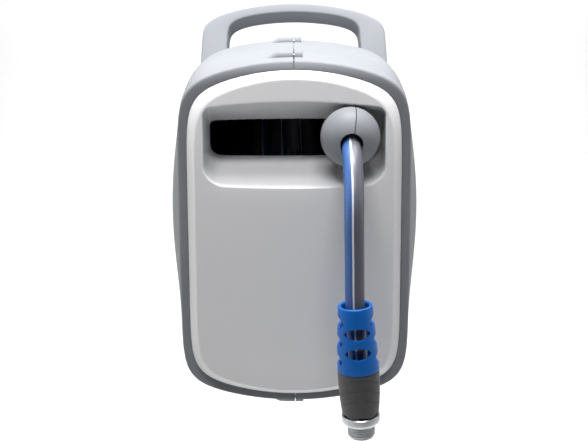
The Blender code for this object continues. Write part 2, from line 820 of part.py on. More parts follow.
def case_envelope(clearance):
    """The case's outside as one solid, drawn out by a clearance, for what saddles it."""
    spans = 10
    straight_end = CASE_DEPTH - REAR_ROUNDING
    depths = [straight_end * k / spans for k in range(spans + 1)]
    rings = [whole_ring(half_outline(depth, -clearance)) for depth in depths]
    for bend in [math.radians(a) for a in (24, 48, 70, 90)]:
        depth = straight_end + REAR_ROUNDING * math.sin(bend) + clearance
        inset = REAR_ROUNDING * (1 - math.cos(bend)) - clearance
        rings.append(whole_ring(half_outline(depth, inset, depth - clearance)))
    return loft(rings)


def build_handle(look):
    edge = HANDLE_EDGE
    full = HANDLE_THICKNESS
    outside = [(edge, 0), (0, edge), (0, full - edge), (edge, full)]
    rings = [handle_ring(inset, through) for inset, through in outside]
    rings += [handle_ring(-inset, through, opening=True) for inset, through in outside[::-1]]
    mesh = finish_mesh(loft(rings, loop=True), "handle")
    mesh = add(mesh, handle_boss())
    mesh = cut(mesh, case_envelope(GAP))
    place("handle", mesh, look, origin=(0, SWIVEL_Y, 0))


def handle_boss():
    """The low rounded boss on the middle of the bar's top."""
    reach = HANDLE_BOSS_HALF_WIDTH
    base = HANDLE_TOP - HANDLE_BAR / 2
    top = HANDLE_TOP + HANDLE_BOSS_RISE
    slope = HANDLE_BOSS_RISE * 1.6
    outline = [(-reach, base), (-reach, HANDLE_TOP - GAP), (-reach + slope, top), (reach - slope, top)]
    outline += [(reach, HANDLE_TOP - GAP), (reach, base)]
    start = HANDLE_THICKNESS * 0.3
    depth = HANDLE_THICKNESS * 0.4
    rings = [[handle_point(x, upward, through) for x, upward in outline] for through in (start, start + depth)]
    return loft(rings)


# Wall bracket, swivel pin and bushes

def rounded_rectangle(half_width, half_height, radius, steps=5):
    """Corner-rounded outline as (across, up) pairs, anticlockwise."""
    points = []
    corners = ((1, 1, 0), (-1, 1, 90), (-1, -1, 180), (1, -1, 270))
    for sign_x, sign_z, start in corners:
        for k in range(steps + 1):
            angle = math.radians(start + 90 * k / steps)
            points.append((
                sign_x * (half_width - radius) + radius * math.cos(angle),
                sign_z * (half_height - radius) + radius * math.sin(angle),
            ))
    return points


def arm_height(index):
    """Lower face of the arm above the upper lug, or below the lower one."""
    height = lug_heights()[index]
    if index == 0:
        return height + LUG_HEIGHT / 2 + GAP
    return height - LUG_HEIGHT / 2 - GAP - ARM_THICKNESS


def arm_block(index):
    """An arm seen from above: wide at the wall, round at the pin."""
    radius = LUG_RADIUS
    arc = [math.pi + math.pi * k / 12 for k in range(13)]
    plan = [(ARM_SPREAD / 2, -PLATE_THICKNESS / 2), (-ARM_SPREAD / 2, -PLATE_THICKNESS / 2)]
    plan += [(radius * math.cos(a), SWIVEL_Y + radius * math.sin(a)) for a in arc]
    low = RIM_TOP_Z + arm_height(index)
    return prism([Vector((x, y, low)) for x, y in plan], UP * ARM_THICKNESS)


def gusset(index):
    """The upright web between an arm and the plate, on the arm's inner side."""
    low = RIM_TOP_Z + arm_height(index)
    inner = low + GAP if index == 0 else low + ARM_THICKNESS - GAP
    drop = -GUSSET_DROP if index == 0 else GUSSET_DROP
    tip = SWIVEL_Y + LUG_RADIUS + 0.010
    half = GUSSET_THICKNESS / 2
    outline = [(-PLATE_THICKNESS / 2, inner), (tip, inner), (-PLATE_THICKNESS / 2, inner + drop)]
    return prism([Vector((-half, y, z)) for y, z in outline], RIGHT * GUSSET_THICKNESS)


def build_bracket(look):
    outline = rounded_rectangle(PLATE_WIDTH / 2, PLATE_HEIGHT / 2, PLATE_CORNER)
    plate = prism([Vector((x, 0, z)) for x, z in outline], -BACK * PLATE_THICKNESS)
    mesh = finish_mesh(plate, "wall_bracket")
    mesh = add(mesh, arm_block(0), arm_block(1), gusset(0), gusset(1))
    holes = []
    inset = WALL_HOLE_INSET
    for x in (-1, 1):
        for z in (-1, 1):
            start = (x * (PLATE_WIDTH / 2 - inset), 0.001, z * (PLATE_HEIGHT / 2 - inset))
            holes.append(rod(start, -BACK, WALL_HOLE_RADIUS, PLATE_THICKNESS + 0.002, TUBE_STEPS))
    for index in (0, 1):
        low = Vector((0, SWIVEL_Y, RIM_TOP_Z + arm_height(index) - 0.001))
        holes.append(rod(low, UP, PIN_RADIUS + GAP, ARM_THICKNESS + 0.002))
    place("wall_bracket", cut(mesh, *holes), look)


def build_pin(look, cap_look):
    top = RIM_TOP_Z + arm_height(0) + ARM_THICKNESS + GAP
    bottom = RIM_TOP_Z + arm_height(1) - PIN_TAIL
    head = 0.005
    tip = 0.002
    profile = [(0, 0), (PIN_RADIUS - tip, 0), (PIN_RADIUS, tip), (PIN_RADIUS, top - bottom)]
    profile += [(PIN_RADIUS, top - bottom + head), (0, top - bottom + head)]
    shape = turned(profile, (0, SWIVEL_Y, bottom), UP)
    place("swivel_pin", finish_mesh(shape, "swivel_pin"), look, origin=(0, SWIVEL_Y, top))
    round_off = 0.004
    outer = PIN_HEAD_RADIUS
    bore = PIN_RADIUS + GAP
    crown = PIN_HEAD_HEIGHT
    cap = [(bore, 0), (outer - 0.001, 0), (outer, 0.001), (outer, crown - round_off)]
    cap += [(outer - round_off * 0.3, crown - round_off * 0.3), (outer - round_off, crown), (0, crown)]
    cap += [(0, head + GAP), (bore, head + GAP)]
    shape = turned(cap, (0, SWIVEL_Y, top), UP)
    place("pin_cap", finish_mesh(shape, "pin_cap"), cap_look, origin=(0, SWIVEL_Y, top))


def build_swivel_bushes(look):
    for name, height in zip(("upper", "lower"), lug_heights()):
        start = spot(0, CASE_DEPTH + PIN_BEHIND_CASE, height - LUG_HEIGHT / 2 + GAP)
        inner = PIN_RADIUS + GAP
        shape = sleeve(start, UP, inner + BUSH_WALL, inner, LUG_HEIGHT - 2 * GAP)
        place("swivel_bush_" + name, finish_mesh(shape, name), look, origin=start)


# Axle and water inlet

def axle_ends():
    """X of the axle's left and right end, both inside their seats."""
    return -(INLET_END + END_SEAT), CASSETTE_END + END_SEAT


def build_axle(look):
    left, right = axle_ends()
    start = spot(left, DRUM_DEPTH, DRUM_HEIGHT)
    mesh = finish_mesh(sleeve(start, RIGHT, AXLE_RADIUS, AXLE_BORE, right - left), "axle")
    port = AXLE_RADIUS + 0.002
    inlet_port = rod(spot(INLET_X, DRUM_DEPTH, DRUM_HEIGHT), -UP, PORT_RADIUS, port, TUBE_STEPS)
    hose_port = rod(DRUM_CENTRE, UP, PORT_RADIUS, port, TUBE_STEPS)
    place("axle", cut(mesh, inlet_port, hose_port), look, origin=DRUM_CENTRE)


def build_inlet(look, seal_look, metal_look):
    half = INLET_PIPE_RADIUS
    start = spot(INLET_X - half, DRUM_DEPTH, DRUM_HEIGHT)
    top = spot(INLET_X, DRUM_DEPTH, DRUM_HEIGHT)
    length = DRUM_HEIGHT - INLET_PIPE_END
    mesh = finish_mesh(rod(start, RIGHT, ELBOW_RADIUS, 2 * half), "inlet_elbow")
    mesh = add(mesh, rod(top, -UP, INLET_PIPE_RADIUS, length))
    through = rod(start - RIGHT * 0.001, RIGHT, AXLE_RADIUS + GAP, 2 * half + 0.002)
    mesh = cut(mesh, through, rod(top, -UP, INLET_BORE, length + 0.001))
    place("inlet_elbow", mesh, look, origin=top)
    below = spot(INLET_X, DRUM_DEPTH, INLET_PIPE_END - GAP)
    seal = sleeve(below, -UP, INLET_PIPE_RADIUS, INLET_BORE + GAP, INLET_SEAL_WIDTH)
    place("inlet_seal", finish_mesh(seal, "inlet_seal"), seal_look, origin=top)
    flange = below - UP * (INLET_SEAL_WIDTH + GAP)
    neck = INLET_BORE - GAP
    bore = neck - INLET_NECK_WALL
    profile = [(bore, -INLET_NECK_LENGTH), (neck, -INLET_NECK_LENGTH), (neck, 0), (INLET_FLANGE, 0)]
    profile += [(INLET_FLANGE, FLANGE_COLLAR), (INLET_SPIGOT_RADIUS, FLANGE_COLLAR)]
    profile += [(INLET_SPIGOT_RADIUS, INLET_SPIGOT_LENGTH), (bore, INLET_SPIGOT_LENGTH)]
    spigot = turned(profile, flange, -UP)
    place("inlet_spigot", finish_mesh(spigot, "inlet_spigot"), metal_look, origin=top)


# Drum and the hose on it

def drum_spot(x, radius=0.0, angle=0.0):
    """A place about the drum's axis, at an angle from the back towards the top."""
    return DRUM_CENTRE + Vector((x, radius * math.cos(angle), radius * math.sin(angle)))


def build_hub(look):
    reach = DRUM_INSIDE - GAP
    hub = sleeve(drum_spot(-reach), RIGHT, HUB_RADIUS, HUB_RADIUS - HUB_WALL, 2 * reach)
    hole = rod(drum_spot(0, HUB_RADIUS / 2, math.pi / 2), UP, CONNECTOR_RADIUS + GAP, HUB_RADIUS, TUBE_STEPS)
    place("drum_hub", cut(finish_mesh(hub, "drum_hub"), hole), look, origin=DRUM_CENTRE)


def build_flange(name, look):
    """A disc with a rolled edge, an inner collar round its bush, outer ribs and a raised middle."""
    side = SIDE[name]
    outward = RIGHT * side
    bush = AXLE_RADIUS + GAP + AXLE_BUSH_WALL + GAP
    collar = bush + FLANGE_COLLAR
    thick = FLANGE_THICKNESS
    raised = GEAR_START - DRUM_INSIDE - GAP if side < 0 else thick
    seat = DRUM_GEAR_RADIUS * 0.6 if side < 0 else collar
    profile = [(bush, -FLANGE_COLLAR_DEPTH), (collar, -FLANGE_COLLAR_DEPTH), (collar, 0)]
    profile += [(FLANGE_RADIUS - thick, 0), (FLANGE_RADIUS, thick), (FLANGE_RADIUS, thick + FLANGE_LIP)]
    profile += [(FLANGE_RADIUS - thick, thick + FLANGE_LIP), (FLANGE_RADIUS - thick, thick + 0.0001)]
    profile += [(FLANGE_RADIUS - thick - FLANGE_LIP, thick)]
    if side < 0:
        profile += [(seat, thick), (seat, raised), (bush, raised)]
    else:
        profile += [(bush, thick)]
    mesh = finish_mesh(turned(profile, drum_spot(side * DRUM_INSIDE), outward, DISC_STEPS), name)
    inner = DRUM_GEAR_RADIUS + GEAR_MODULE * 2 if side < 0 else CASSETTE_RADIUS + RUNNING_GAP
    outer = FLANGE_RADIUS - thick / 2
    ribs = []
    for k in range(FLANGE_RIB_COUNT):
        low = Vector((DRUM_INSIDE + thick / 2, inner, -RIB_THICKNESS / 2))
        high = Vector((DRUM_INSIDE + thick + FLANGE_RIB_HEIGHT, outer, RIB_THICKNESS / 2))
        rib = block(low, high)
        turn = Matrix.Rotation(2 * math.pi * (k + 0.5) / FLANGE_RIB_COUNT, 4, "X")
        across = Matrix.Diagonal((side, 1, 1, 1))
        bmesh.ops.transform(rib, matrix=Matrix.Translation(DRUM_CENTRE) @ turn @ across, verts=rib.verts)
        ribs.append(rib)
    place("flange_" + name, add(mesh, *ribs), look, origin=DRUM_CENTRE)


def build_drum_bushes(look):
    inner = AXLE_RADIUS + GAP
    for name, side in SIDE.items():
        start = drum_spot(side * (DRUM_INSIDE - FLANGE_COLLAR_DEPTH))
        shape = sleeve(start, RIGHT * side, inner + AXLE_BUSH_WALL, inner, AXLE_BUSH_LENGTH)
        place("drum_bush_" + name, finish_mesh(shape, name), look, origin=DRUM_CENTRE)


def build_connector(look, seal_look):
    """The branch that turns on the axle and takes water to the hose's inner end."""
    half = CONNECTOR_HALF_LENGTH
    mesh = finish_mesh(rod(drum_spot(-half), RIGHT, ELBOW_RADIUS, 2 * half), "hub_connector")
    mesh = add(mesh, rod(DRUM_CENTRE, UP, CONNECTOR_RADIUS, HUB_RADIUS - GAP, TUBE_STEPS))
    through = rod(drum_spot(-half - 0.001), RIGHT, AXLE_RADIUS + GAP, 2 * half + 0.002)
    mesh = cut(mesh, through, rod(DRUM_CENTRE, UP, PORT_RADIUS, HUB_RADIUS + 0.001, TUBE_STEPS))
    place("hub_connector", mesh, look, origin=DRUM_CENTRE)
    for name, side in SIDE.items():
        start = drum_spot(side * (half + GAP))
        shape = sleeve(start, RIGHT * side, ELBOW_RADIUS - FLANGE_COLLAR / 2, AXLE_RADIUS + GAP, INLET_SEAL_WIDTH)
        place("axle_seal_" + name, finish_mesh(shape, name), seal_look, origin=DRUM_CENTRE)


def build_core(look):
    reach = DRUM_INSIDE - GAP
    outer = HOSE_WINDING_RADIUS * math.cos(math.pi / WINDING_STEPS) - HOSE_RADIUS - GAP
    shape = sleeve(drum_spot(-reach), RIGHT, outer, HUB_RADIUS + GAP, 2 * reach, DISC_STEPS)
    place("hose_core", finish_mesh(shape, "hose_core"), look, origin=DRUM_CENTRE)


def tube(name, points, radius, look, sides, origin):
    """A round tube along points, with closed ends."""
    route = bpy.data.curves.new(name, "CURVE")
    route.dimensions = "3D"
    route.bevel_depth = radius
    route.bevel_resolution = sides
    route.use_fill_caps = True
    spline = route.splines.new("POLY")
    spline.points.add(len(points) - 1)
    for knot, point in zip(spline.points, points):
        knot.co = (*(Vector(point) - Vector(origin)), 1)
    route.materials.append(look)
    made = bpy.data.objects.new(name, route)
    made.location = origin
    bpy.context.scene.collection.objects.link(made)
    return made


def winding_points():
    """The outer layer of hose, from the lead at the top to its far end, with both ends straight."""
    count = round(TRAVERSE_TURNS * WINDING_STEPS)
    points = []
    for k in range(count + 1):
        turn = 2 * math.pi * k / WINDING_STEPS
        x = BALL_X - TURN_PITCH * k / WINDING_STEPS
        points.append(drum_spot(x, HOSE_WINDING_RADIUS, math.pi / 2 - turn))
    start = points[0] - BACK * 2 * HOSE_RADIUS
    last_turn = 2 * math.pi * count / WINDING_STEPS
    heading = Vector((0, math.cos(last_turn), -math.sin(last_turn)))
    return [start] + points + [points[-1] + heading * 2 * HOSE_RADIUS]


def least_gap(points, radius, skip):
    """The least room between a tube's turns, measured between points more than a given number apart."""
    least = 1.0
    for k, point in enumerate(points):
        for other in points[k + skip:]:
            least = min(least, (other - point).length)
    return least - 2 * radius


def build_winding(look):
    points = winding_points()
    print("least gap between turns, mm:", round(1000 * least_gap(points, HOSE_RADIUS, WINDING_STEPS // 2), 3))
    tube("hose_winding", points, HOSE_RADIUS, look, 1, DRUM_CENTRE)


# Spring, ratchet and latch

def build_cassette(look):
    wall = CASSETTE_WALL
    length = CASSETTE_WIDTH - wall - GAP
    hole = ARBOR_RADIUS + RUNNING_GAP
    profile = [(hole, 0), (CASSETTE_RADIUS, 0), (CASSETTE_RADIUS, length), (CASSETTE_RADIUS - wall, length)]
    profile += [(CASSETTE_RADIUS - wall, wall), (hole, wall)]
    cup = turned(profile, drum_spot(CASSETTE_START), RIGHT, DISC_STEPS)
    place("spring_cassette", finish_mesh(cup, "spring_cassette"), look, origin=DRUM_CENTRE)
    lid = sleeve(
        drum_spot(CASSETTE_START + length + GAP), RIGHT, CASSETTE_RADIUS, hole, wall, DISC_STEPS
    )
    place("spring_cover", finish_mesh(lid, "spring_cover"), look, origin=DRUM_CENTRE)


def build_arbor(look):
    start = CASSETTE_START + RUNNING_GAP
    length = CASSETTE_END - RUNNING_GAP - start
    shape = sleeve(drum_spot(start), RIGHT, ARBOR_RADIUS, AXLE_RADIUS + GAP, length)
    place("spring_arbor", finish_mesh(shape, "spring_arbor"), look, origin=DRUM_CENTRE)


def build_power_spring(look):
    """A flat strip coiled from the arbor out to the cassette's wall."""
    inner = ARBOR_RADIUS + SPRING_EDGE_GAP
    outer = CASSETTE_RADIUS - CASSETTE_WALL - SPRING_EDGE_GAP
    near = CASSETTE_START + CASSETTE_WALL + SPRING_EDGE_GAP
    far = CASSETTE_START + CASSETTE_WIDTH - CASSETTE_WALL - SPRING_EDGE_GAP
    count = SPRING_TURNS * SPRING_STEPS
    rings = []
    for k in range(count + 1):
        angle = 2 * math.pi * k / SPRING_STEPS
        radius = inner + (outer - inner) * k / count
        corners = ((near, 0), (far, 0), (far, SPRING_THICKNESS), (near, SPRING_THICKNESS))
        rings.append([drum_spot(x, radius + extra, angle) for x, extra in corners])
    place("power_spring", finish_mesh(loft(rings), "power_spring"), look, origin=DRUM_CENTRE, smooth=50)


def saw_outline(teeth, outer, depth, start):
    """Ratchet teeth as (radius, angle) pairs: each rises steeply, then falls away slowly."""
    step = 2 * math.pi / teeth
    tooth = ((outer - depth, 0), (outer, 0.06), (outer, 0.18), (outer - depth / 2, 0.56))
    return [(radius, start + (k + share) * step) for k in range(teeth) for radius, share in tooth]


def build_ratchet(look):
    outline = saw_outline(RATCHET_TEETH, RATCHET_RADIUS, RATCHET_TOOTH, RATCHET_ANGLE)
    start = CASSETTE_START + CASSETTE_WIDTH + GAP
    ring = prism([drum_spot(start, radius, angle) for radius, angle in outline], RIGHT * (RATCHET_WIDTH - GAP))
    hole = rod(drum_spot(start - 0.001), RIGHT, RATCHET_RADIUS - RATCHET_TOOTH - RATCHET_BAND, 0.02)
    place("ratchet_ring", cut(finish_mesh(ring, "ratchet_ring"), hole), look, origin=DRUM_CENTRE)


def build_pawl(look, pin_look):
    """The latch, hung on its pin with its tip just clear of the teeth."""
    pivot = spot(0, PAWL_DEPTH, PAWL_HEIGHT)
    radial = Vector((0, math.cos(PAWL_ANGLE), math.sin(PAWL_ANGLE)))
    along = Vector((0, -math.sin(PAWL_ANGLE), math.cos(PAWL_ANGLE)))
    point_way = along * math.cos(PAWL_REST) - radial * math.sin(PAWL_REST)
    side_way = RIGHT.cross(point_way)
    near = CASSETTE_START + CASSETTE_WIDTH + GAP
    width = RATCHET_WIDTH - 2 * GAP
    root = PAWL_PIN_RADIUS + GAP + PAWL_WALL
    tip = pivot + point_way * PAWL_LENGTH
    outline = [pivot + side_way * root * 0.9, pivot - side_way * root * 0.9, tip - side_way * root * 0.3]
    outline += [tip + side_way * root * 0.3]
    arm = prism([point + RIGHT * near for point in outline], RIGHT * width)
    mesh = finish_mesh(rod(pivot + RIGHT * near, RIGHT, root, width), "latch_pawl")
    mesh = add(mesh, arm)
    hole = rod(pivot + RIGHT * (near - 0.001), RIGHT, PAWL_PIN_RADIUS + GAP, width + 0.002, TUBE_STEPS)
    place("latch_pawl", cut(mesh, hole), look, origin=pivot + RIGHT * near)
    length = CASSETTE_END + END_SEAT - near
    pin = rod(pivot + RIGHT * near, RIGHT, PAWL_PIN_RADIUS, length, TUBE_STEPS)
    place("pawl_pin", finish_mesh(pin, "pawl_pin"), pin_look, origin=pivot + RIGHT * near)


# Gears and level wind

def gear_outline(teeth, phase):
    """Straight-flanked teeth as (radius, angle) pairs, with a tooth at the phase angle."""
    pitch = GEAR_MODULE * teeth / 2
    pressure = math.radians(20)
    base = pitch * math.cos(pressure)
    tip = pitch + GEAR_MODULE
    at_pitch = (math.pi * GEAR_MODULE / 2 - GEAR_BACKLASH) / 2 / pitch
    rolled = math.tan(pressure) - pressure
    tip_pressure = math.acos(base / tip)
    at_tip = at_pitch + rolled - (math.tan(tip_pressure) - tip_pressure)
    at_root = at_pitch + rolled
    root = pitch - 1.25 * GEAR_MODULE
    points = []
    for k in range(teeth):
        middle = phase + 2 * math.pi * k / teeth
        points += [(root, middle - at_root), (tip, middle - at_tip), (tip, middle + at_tip)]
        points += [(root, middle + at_root)]
    return points


def build_gear(name, teeth, depth, height, phase, bore, look):
    centre = spot(-GEAR_START, depth, height)
    points = [
        centre + Vector((0, radius * math.cos(angle), radius * math.sin(angle)))
        for radius, angle in gear_outline(teeth, phase)
    ]
    mesh = finish_mesh(prism(points, -RIGHT * GEAR_WIDTH), name)
    hole = rod(centre + RIGHT * 0.001, -RIGHT, bore, GEAR_WIDTH + 0.002)
    place(name, cut(mesh, hole), look, origin=centre)


def build_gears(look, pin_look):
    to_screw = math.atan2(SCREW_HEIGHT - DRUM_HEIGHT, SCREW_DEPTH - DRUM_DEPTH)
    half_tooth = math.pi / IDLER_TEETH
    bore = AXLE_RADIUS + RUNNING_GAP
    build_gear("drum_gear", DRUM_GEAR_TEETH, DRUM_DEPTH, DRUM_HEIGHT, to_screw, bore, look)
    build_gear(
        "idler_gear", IDLER_TEETH, IDLER_DEPTH, IDLER_HEIGHT, to_screw + half_tooth, IDLER_PIN_RADIUS + GAP, look
    )
    back = to_screw + math.pi
    build_gear("screw_gear", SCREW_GEAR_TEETH, SCREW_DEPTH, SCREW_HEIGHT, back, SCREW_JOURNAL + GAP, look)
    length = GEAR_WIDTH + RUNNING_GAP + END_SEAT
    pin = rod(spot(-GEAR_START, IDLER_DEPTH, IDLER_HEIGHT), -RIGHT, IDLER_PIN_RADIUS, length, TUBE_STEPS)
    place("idler_pin", finish_mesh(pin, "idler_pin"), pin_look, origin=spot(-GEAR_START, IDLER_DEPTH, IDLER_HEIGHT))


def build_wind_screw(look, bearing_look):
    centre = spot(0, SCREW_DEPTH, SCREW_HEIGHT)
    left = GEAR_START - GAP
    right = GEAR_END - GAP
    end = GEAR_END + END_SEAT
    profile = [(0, -end), (SCREW_JOURNAL, -end), (SCREW_JOURNAL, -left), (WIND_SCREW_RADIUS, -left)]
    profile += [(WIND_SCREW_RADIUS, right), (SCREW_JOURNAL, right), (SCREW_JOURNAL, end), (0, end)]
    place("wind_screw", finish_mesh(turned(profile, centre, RIGHT), "wind_screw"), look, origin=centre)
    for name, side in SIDE.items():
        start = centre + RIGHT * side * GEAR_END
        outer = SCREW_JOURNAL + BEARING_WALL
        shape = sleeve(start, RIGHT * side, outer, SCREW_JOURNAL + GAP, END_SEAT)
        place("screw_bearing_" + name, finish_mesh(shape, name), bearing_look, origin=centre)


def build_guide_rod(look):
    end = GEAR_END + END_SEAT
    start = spot(-end, SCREW_DEPTH, ROD_HEIGHT)
    place("guide_rod", finish_mesh(rod(start, RIGHT, ROD_RADIUS, 2 * end), "guide_rod"), look, origin=start)


def guide_spot(x, through, height):
    """A place on the carriage, from the middle of the hose that it guides."""
    return spot(BALL_X + x, SCREW_DEPTH + through, height)


def build_carriage(look, pin_look, roller_look):
    wall = CARRIAGE_WALL
    half = CARRIAGE_DEPTH / 2
    roller_x = HOSE_RADIUS + RUNNING_GAP + ROLLER_RADIUS
    eye = roller_x + ROLLER_RADIUS + RUNNING_GAP
    eye_rise = HOSE_RADIUS + CARRIAGE_CLEARANCE
    top = BALL_HEIGHT + eye_rise
    low = BALL_HEIGHT - eye_rise
    ring = WIND_SCREW_RADIUS + RUNNING_GAP + wall
    head = ROD_HEIGHT + ROD_RADIUS + RUNNING_GAP + wall
    lower = CARRIAGE_LOWER_HALF_WIDTH
    body = block(guide_spot(-eye - wall, -half, low - wall), guide_spot(eye + wall, half, head))
    arm = block(guide_spot(-lower, -half, SCREW_HEIGHT), guide_spot(lower, half, low - wall / 2))
    hoop = rod(guide_spot(-lower, 0, SCREW_HEIGHT), RIGHT, ring, 2 * lower)
    mesh = add(finish_mesh(body, "guide_carriage"), arm, hoop)
    window = block(guide_spot(-eye, -2 * half, low), guide_spot(eye, 2 * half, top))
    wide = 2 * (eye + wall)
    rod_hole = rod(guide_spot(-wide / 2 - 0.001, 0, ROD_HEIGHT), RIGHT, ROD_RADIUS + RUNNING_GAP, wide + 0.002)
    screw_hole = rod(
        guide_spot(-lower - 0.001, 0, SCREW_HEIGHT), RIGHT, WIND_SCREW_RADIUS + RUNNING_GAP, 2 * lower + 0.002
    )
    key_hole = rod(guide_spot(0, 0, SCREW_HEIGHT), -UP, KEY_RADIUS + GAP, ring + 0.001, TUBE_STEPS)
    holes = [window, rod_hole, screw_hole, key_hole]
    trunnion = ROLLER_PIN_RADIUS
    dip = wall * 0.6
    for side in (-1, 1):
        start = guide_spot(side * roller_x, 0, low - dip - GAP)
        holes.append(rod(start, UP, trunnion + GAP, 2 * (eye_rise + dip + GAP), 12))
    place("guide_carriage", cut(mesh, *holes), look, origin=guide_spot(0, 0, BALL_HEIGHT))
    key_start = WIND_SCREW_RADIUS + GAP
    key = rod(guide_spot(0, 0, SCREW_HEIGHT - key_start), -UP, KEY_RADIUS, ring - key_start, TUBE_STEPS)
    place("guide_key", finish_mesh(key, "guide_key"), pin_look, origin=guide_spot(0, 0, BALL_HEIGHT))
    for name, side in SIDE.items():
        reach = eye_rise - GAP
        end = eye_rise + dip
        profile = [(0, -end), (trunnion, -end), (trunnion, -reach), (ROLLER_RADIUS, -reach)]
        profile += [(ROLLER_RADIUS, reach), (trunnion, reach), (trunnion, end), (0, end)]
        centre = guide_spot(side * roller_x, 0, BALL_HEIGHT)
        shape = turned(profile, centre, UP, 12)
        place("guide_roller_" + name, finish_mesh(shape, name), roller_look, origin=centre)


# Ball stop and hose end

def exit_way():
    return Vector((0, -math.cos(HOSE_EXIT_PITCH), -math.sin(HOSE_EXIT_PITCH)))


def build_lead(look):
    start = spot(BALL_X, DRUM_DEPTH - 2 * HOSE_RADIUS - GAP, BALL_HEIGHT)
    shape = rod(start, -BACK, HOSE_RADIUS, (start - BALL_CENTRE).y, TUBE_STEPS)
    place("hose_lead", finish_mesh(shape, "hose_lead"), look, origin=BALL_CENTRE)


def build_ball(look):
    steps = BALL_STEPS // 2
    radius = BALL_RADIUS
    profile = [(0, -radius)]
    for k in range(1, steps):
        angle = math.pi * k / steps
        profile.append((radius * math.sin(angle), -radius * math.cos(angle)))
    profile.append((0, radius))
    bore = HOSE_RADIUS + GAP
    for name, side in SIDE.items():
        mesh = finish_mesh(turned(profile, BALL_CENTRE, UP, BALL_STEPS), name)
        holes = [rod(BALL_CENTRE, BACK, bore, 2 * radius), rod(BALL_CENTRE, exit_way(), bore, 2 * radius)]
        mesh = cut(mesh, *holes, turned(joint_profile(bore), BALL_CENTRE, UP, TUBE_STEPS))
        cheek = block((side * SEAM_GAP / 2, -2 * radius, -2 * radius), (-side * 3 * radius, 2 * radius, 2 * radius))
        lie = Matrix.Translation(BALL_CENTRE) @ Matrix.Rotation(BALL_TURN, 4, "Z")
        bmesh.ops.transform(cheek, matrix=lie, verts=cheek.verts)
        place("ball_half_" + name, cut(mesh, cheek), look, origin=BALL_CENTRE)


def joint_profile(radius):
    """A small sphere that rounds the corner where the two bores meet."""
    steps = 6
    inner = [(radius * math.sin(math.pi * k / steps), -radius * math.cos(math.pi * k / steps)) for k in range(1, steps)]
    return [(0, -radius)] + inner + [(0, radius)]


def end_way():
    return Vector((math.sin(HOSE_END_LEAN), 0, -math.cos(HOSE_END_LEAN)))


def end_spot(along):
    """A place on the axis of the hose's end pieces, measured down from the bend guard's top."""
    return spot(GUARD_X, BALL_DEPTH - HOSE_REACH, GUARD_TOP) + end_way() * along


def smooth_route(route, spacing):
    """Even points along a smooth curve through hand-chosen places."""
    fine = 24
    dense = []
    padded = [2 * route[0] - route[1]] + route + [2 * route[-1] - route[-2]]
    for k in range(1, len(padded) - 2):
        before, near, far, after = padded[k - 1:k + 3]
        for step in range(fine):
            t = step / fine
            dense.append(0.5 * (
                2 * near + (far - before) * t + (2 * before - 5 * near + 4 * far - after) * t ** 2
                + (3 * near - before - 3 * far + after) * t ** 3
            ))
    dense.append(route[-1])
    walked = [0.0]
    for near, far in zip(dense, dense[1:]):
        walked.append(walked[-1] + (far - near).length)
    count = round(walked[-1] / spacing)
    points = []
    index = 0
    for k in range(count + 1):
        target = walked[-1] * k / count
        while index < len(walked) - 2 and walked[index + 1] < target:
            index += 1
        share = (target - walked[index]) / (walked[index + 1] - walked[index])
        points.append(dense[index].lerp(dense[index + 1], share))
    return points


def tail_points():
    """The curve's points from the ball's mouth to the bend guard, with a straight run at either end."""
    route = tail_route()
    return [route[0]] + smooth_route(route[1:-2], TAIL_SPACING) + route[-2:]


def tail_route():
    """Places along the hanging hose: straight out of the ball, round one bend, then down to the grip."""
    start = BALL_CENTRE + exit_way() * (HOSE_RADIUS * math.sin(HOSE_EXIT_PITCH) + GAP)
    straight = BALL_CENTRE + exit_way() * TAIL_STRAIGHT
    drop = math.pi / 2 - HOSE_EXIT_PITCH
    bend = (HOSE_REACH - TAIL_STRAIGHT * math.cos(HOSE_EXIT_PITCH)) / (1 - math.cos(drop))
    centre = straight + bend * Vector((0, math.sin(HOSE_EXIT_PITCH), -math.cos(HOSE_EXIT_PITCH)))
    route = [start, straight]
    for k in (1, 2, 3, 4):
        angle = HOSE_EXIT_PITCH + drop * k / 4
        route.append(centre + bend * Vector((0, -math.sin(angle), math.cos(angle))))
    foot = end_spot(0)
    route.append(route[-1].lerp(foot, 0.5))
    route.append(foot)
    route.append(end_spot(GUARD_LENGTH))
    route.append(end_spot(GUARD_LENGTH + GAP + GRIP_LENGTH))
    return route


def build_tail(look):
    tube("hose_tail", tail_points(), HOSE_RADIUS, look, 4, BALL_CENTRE)


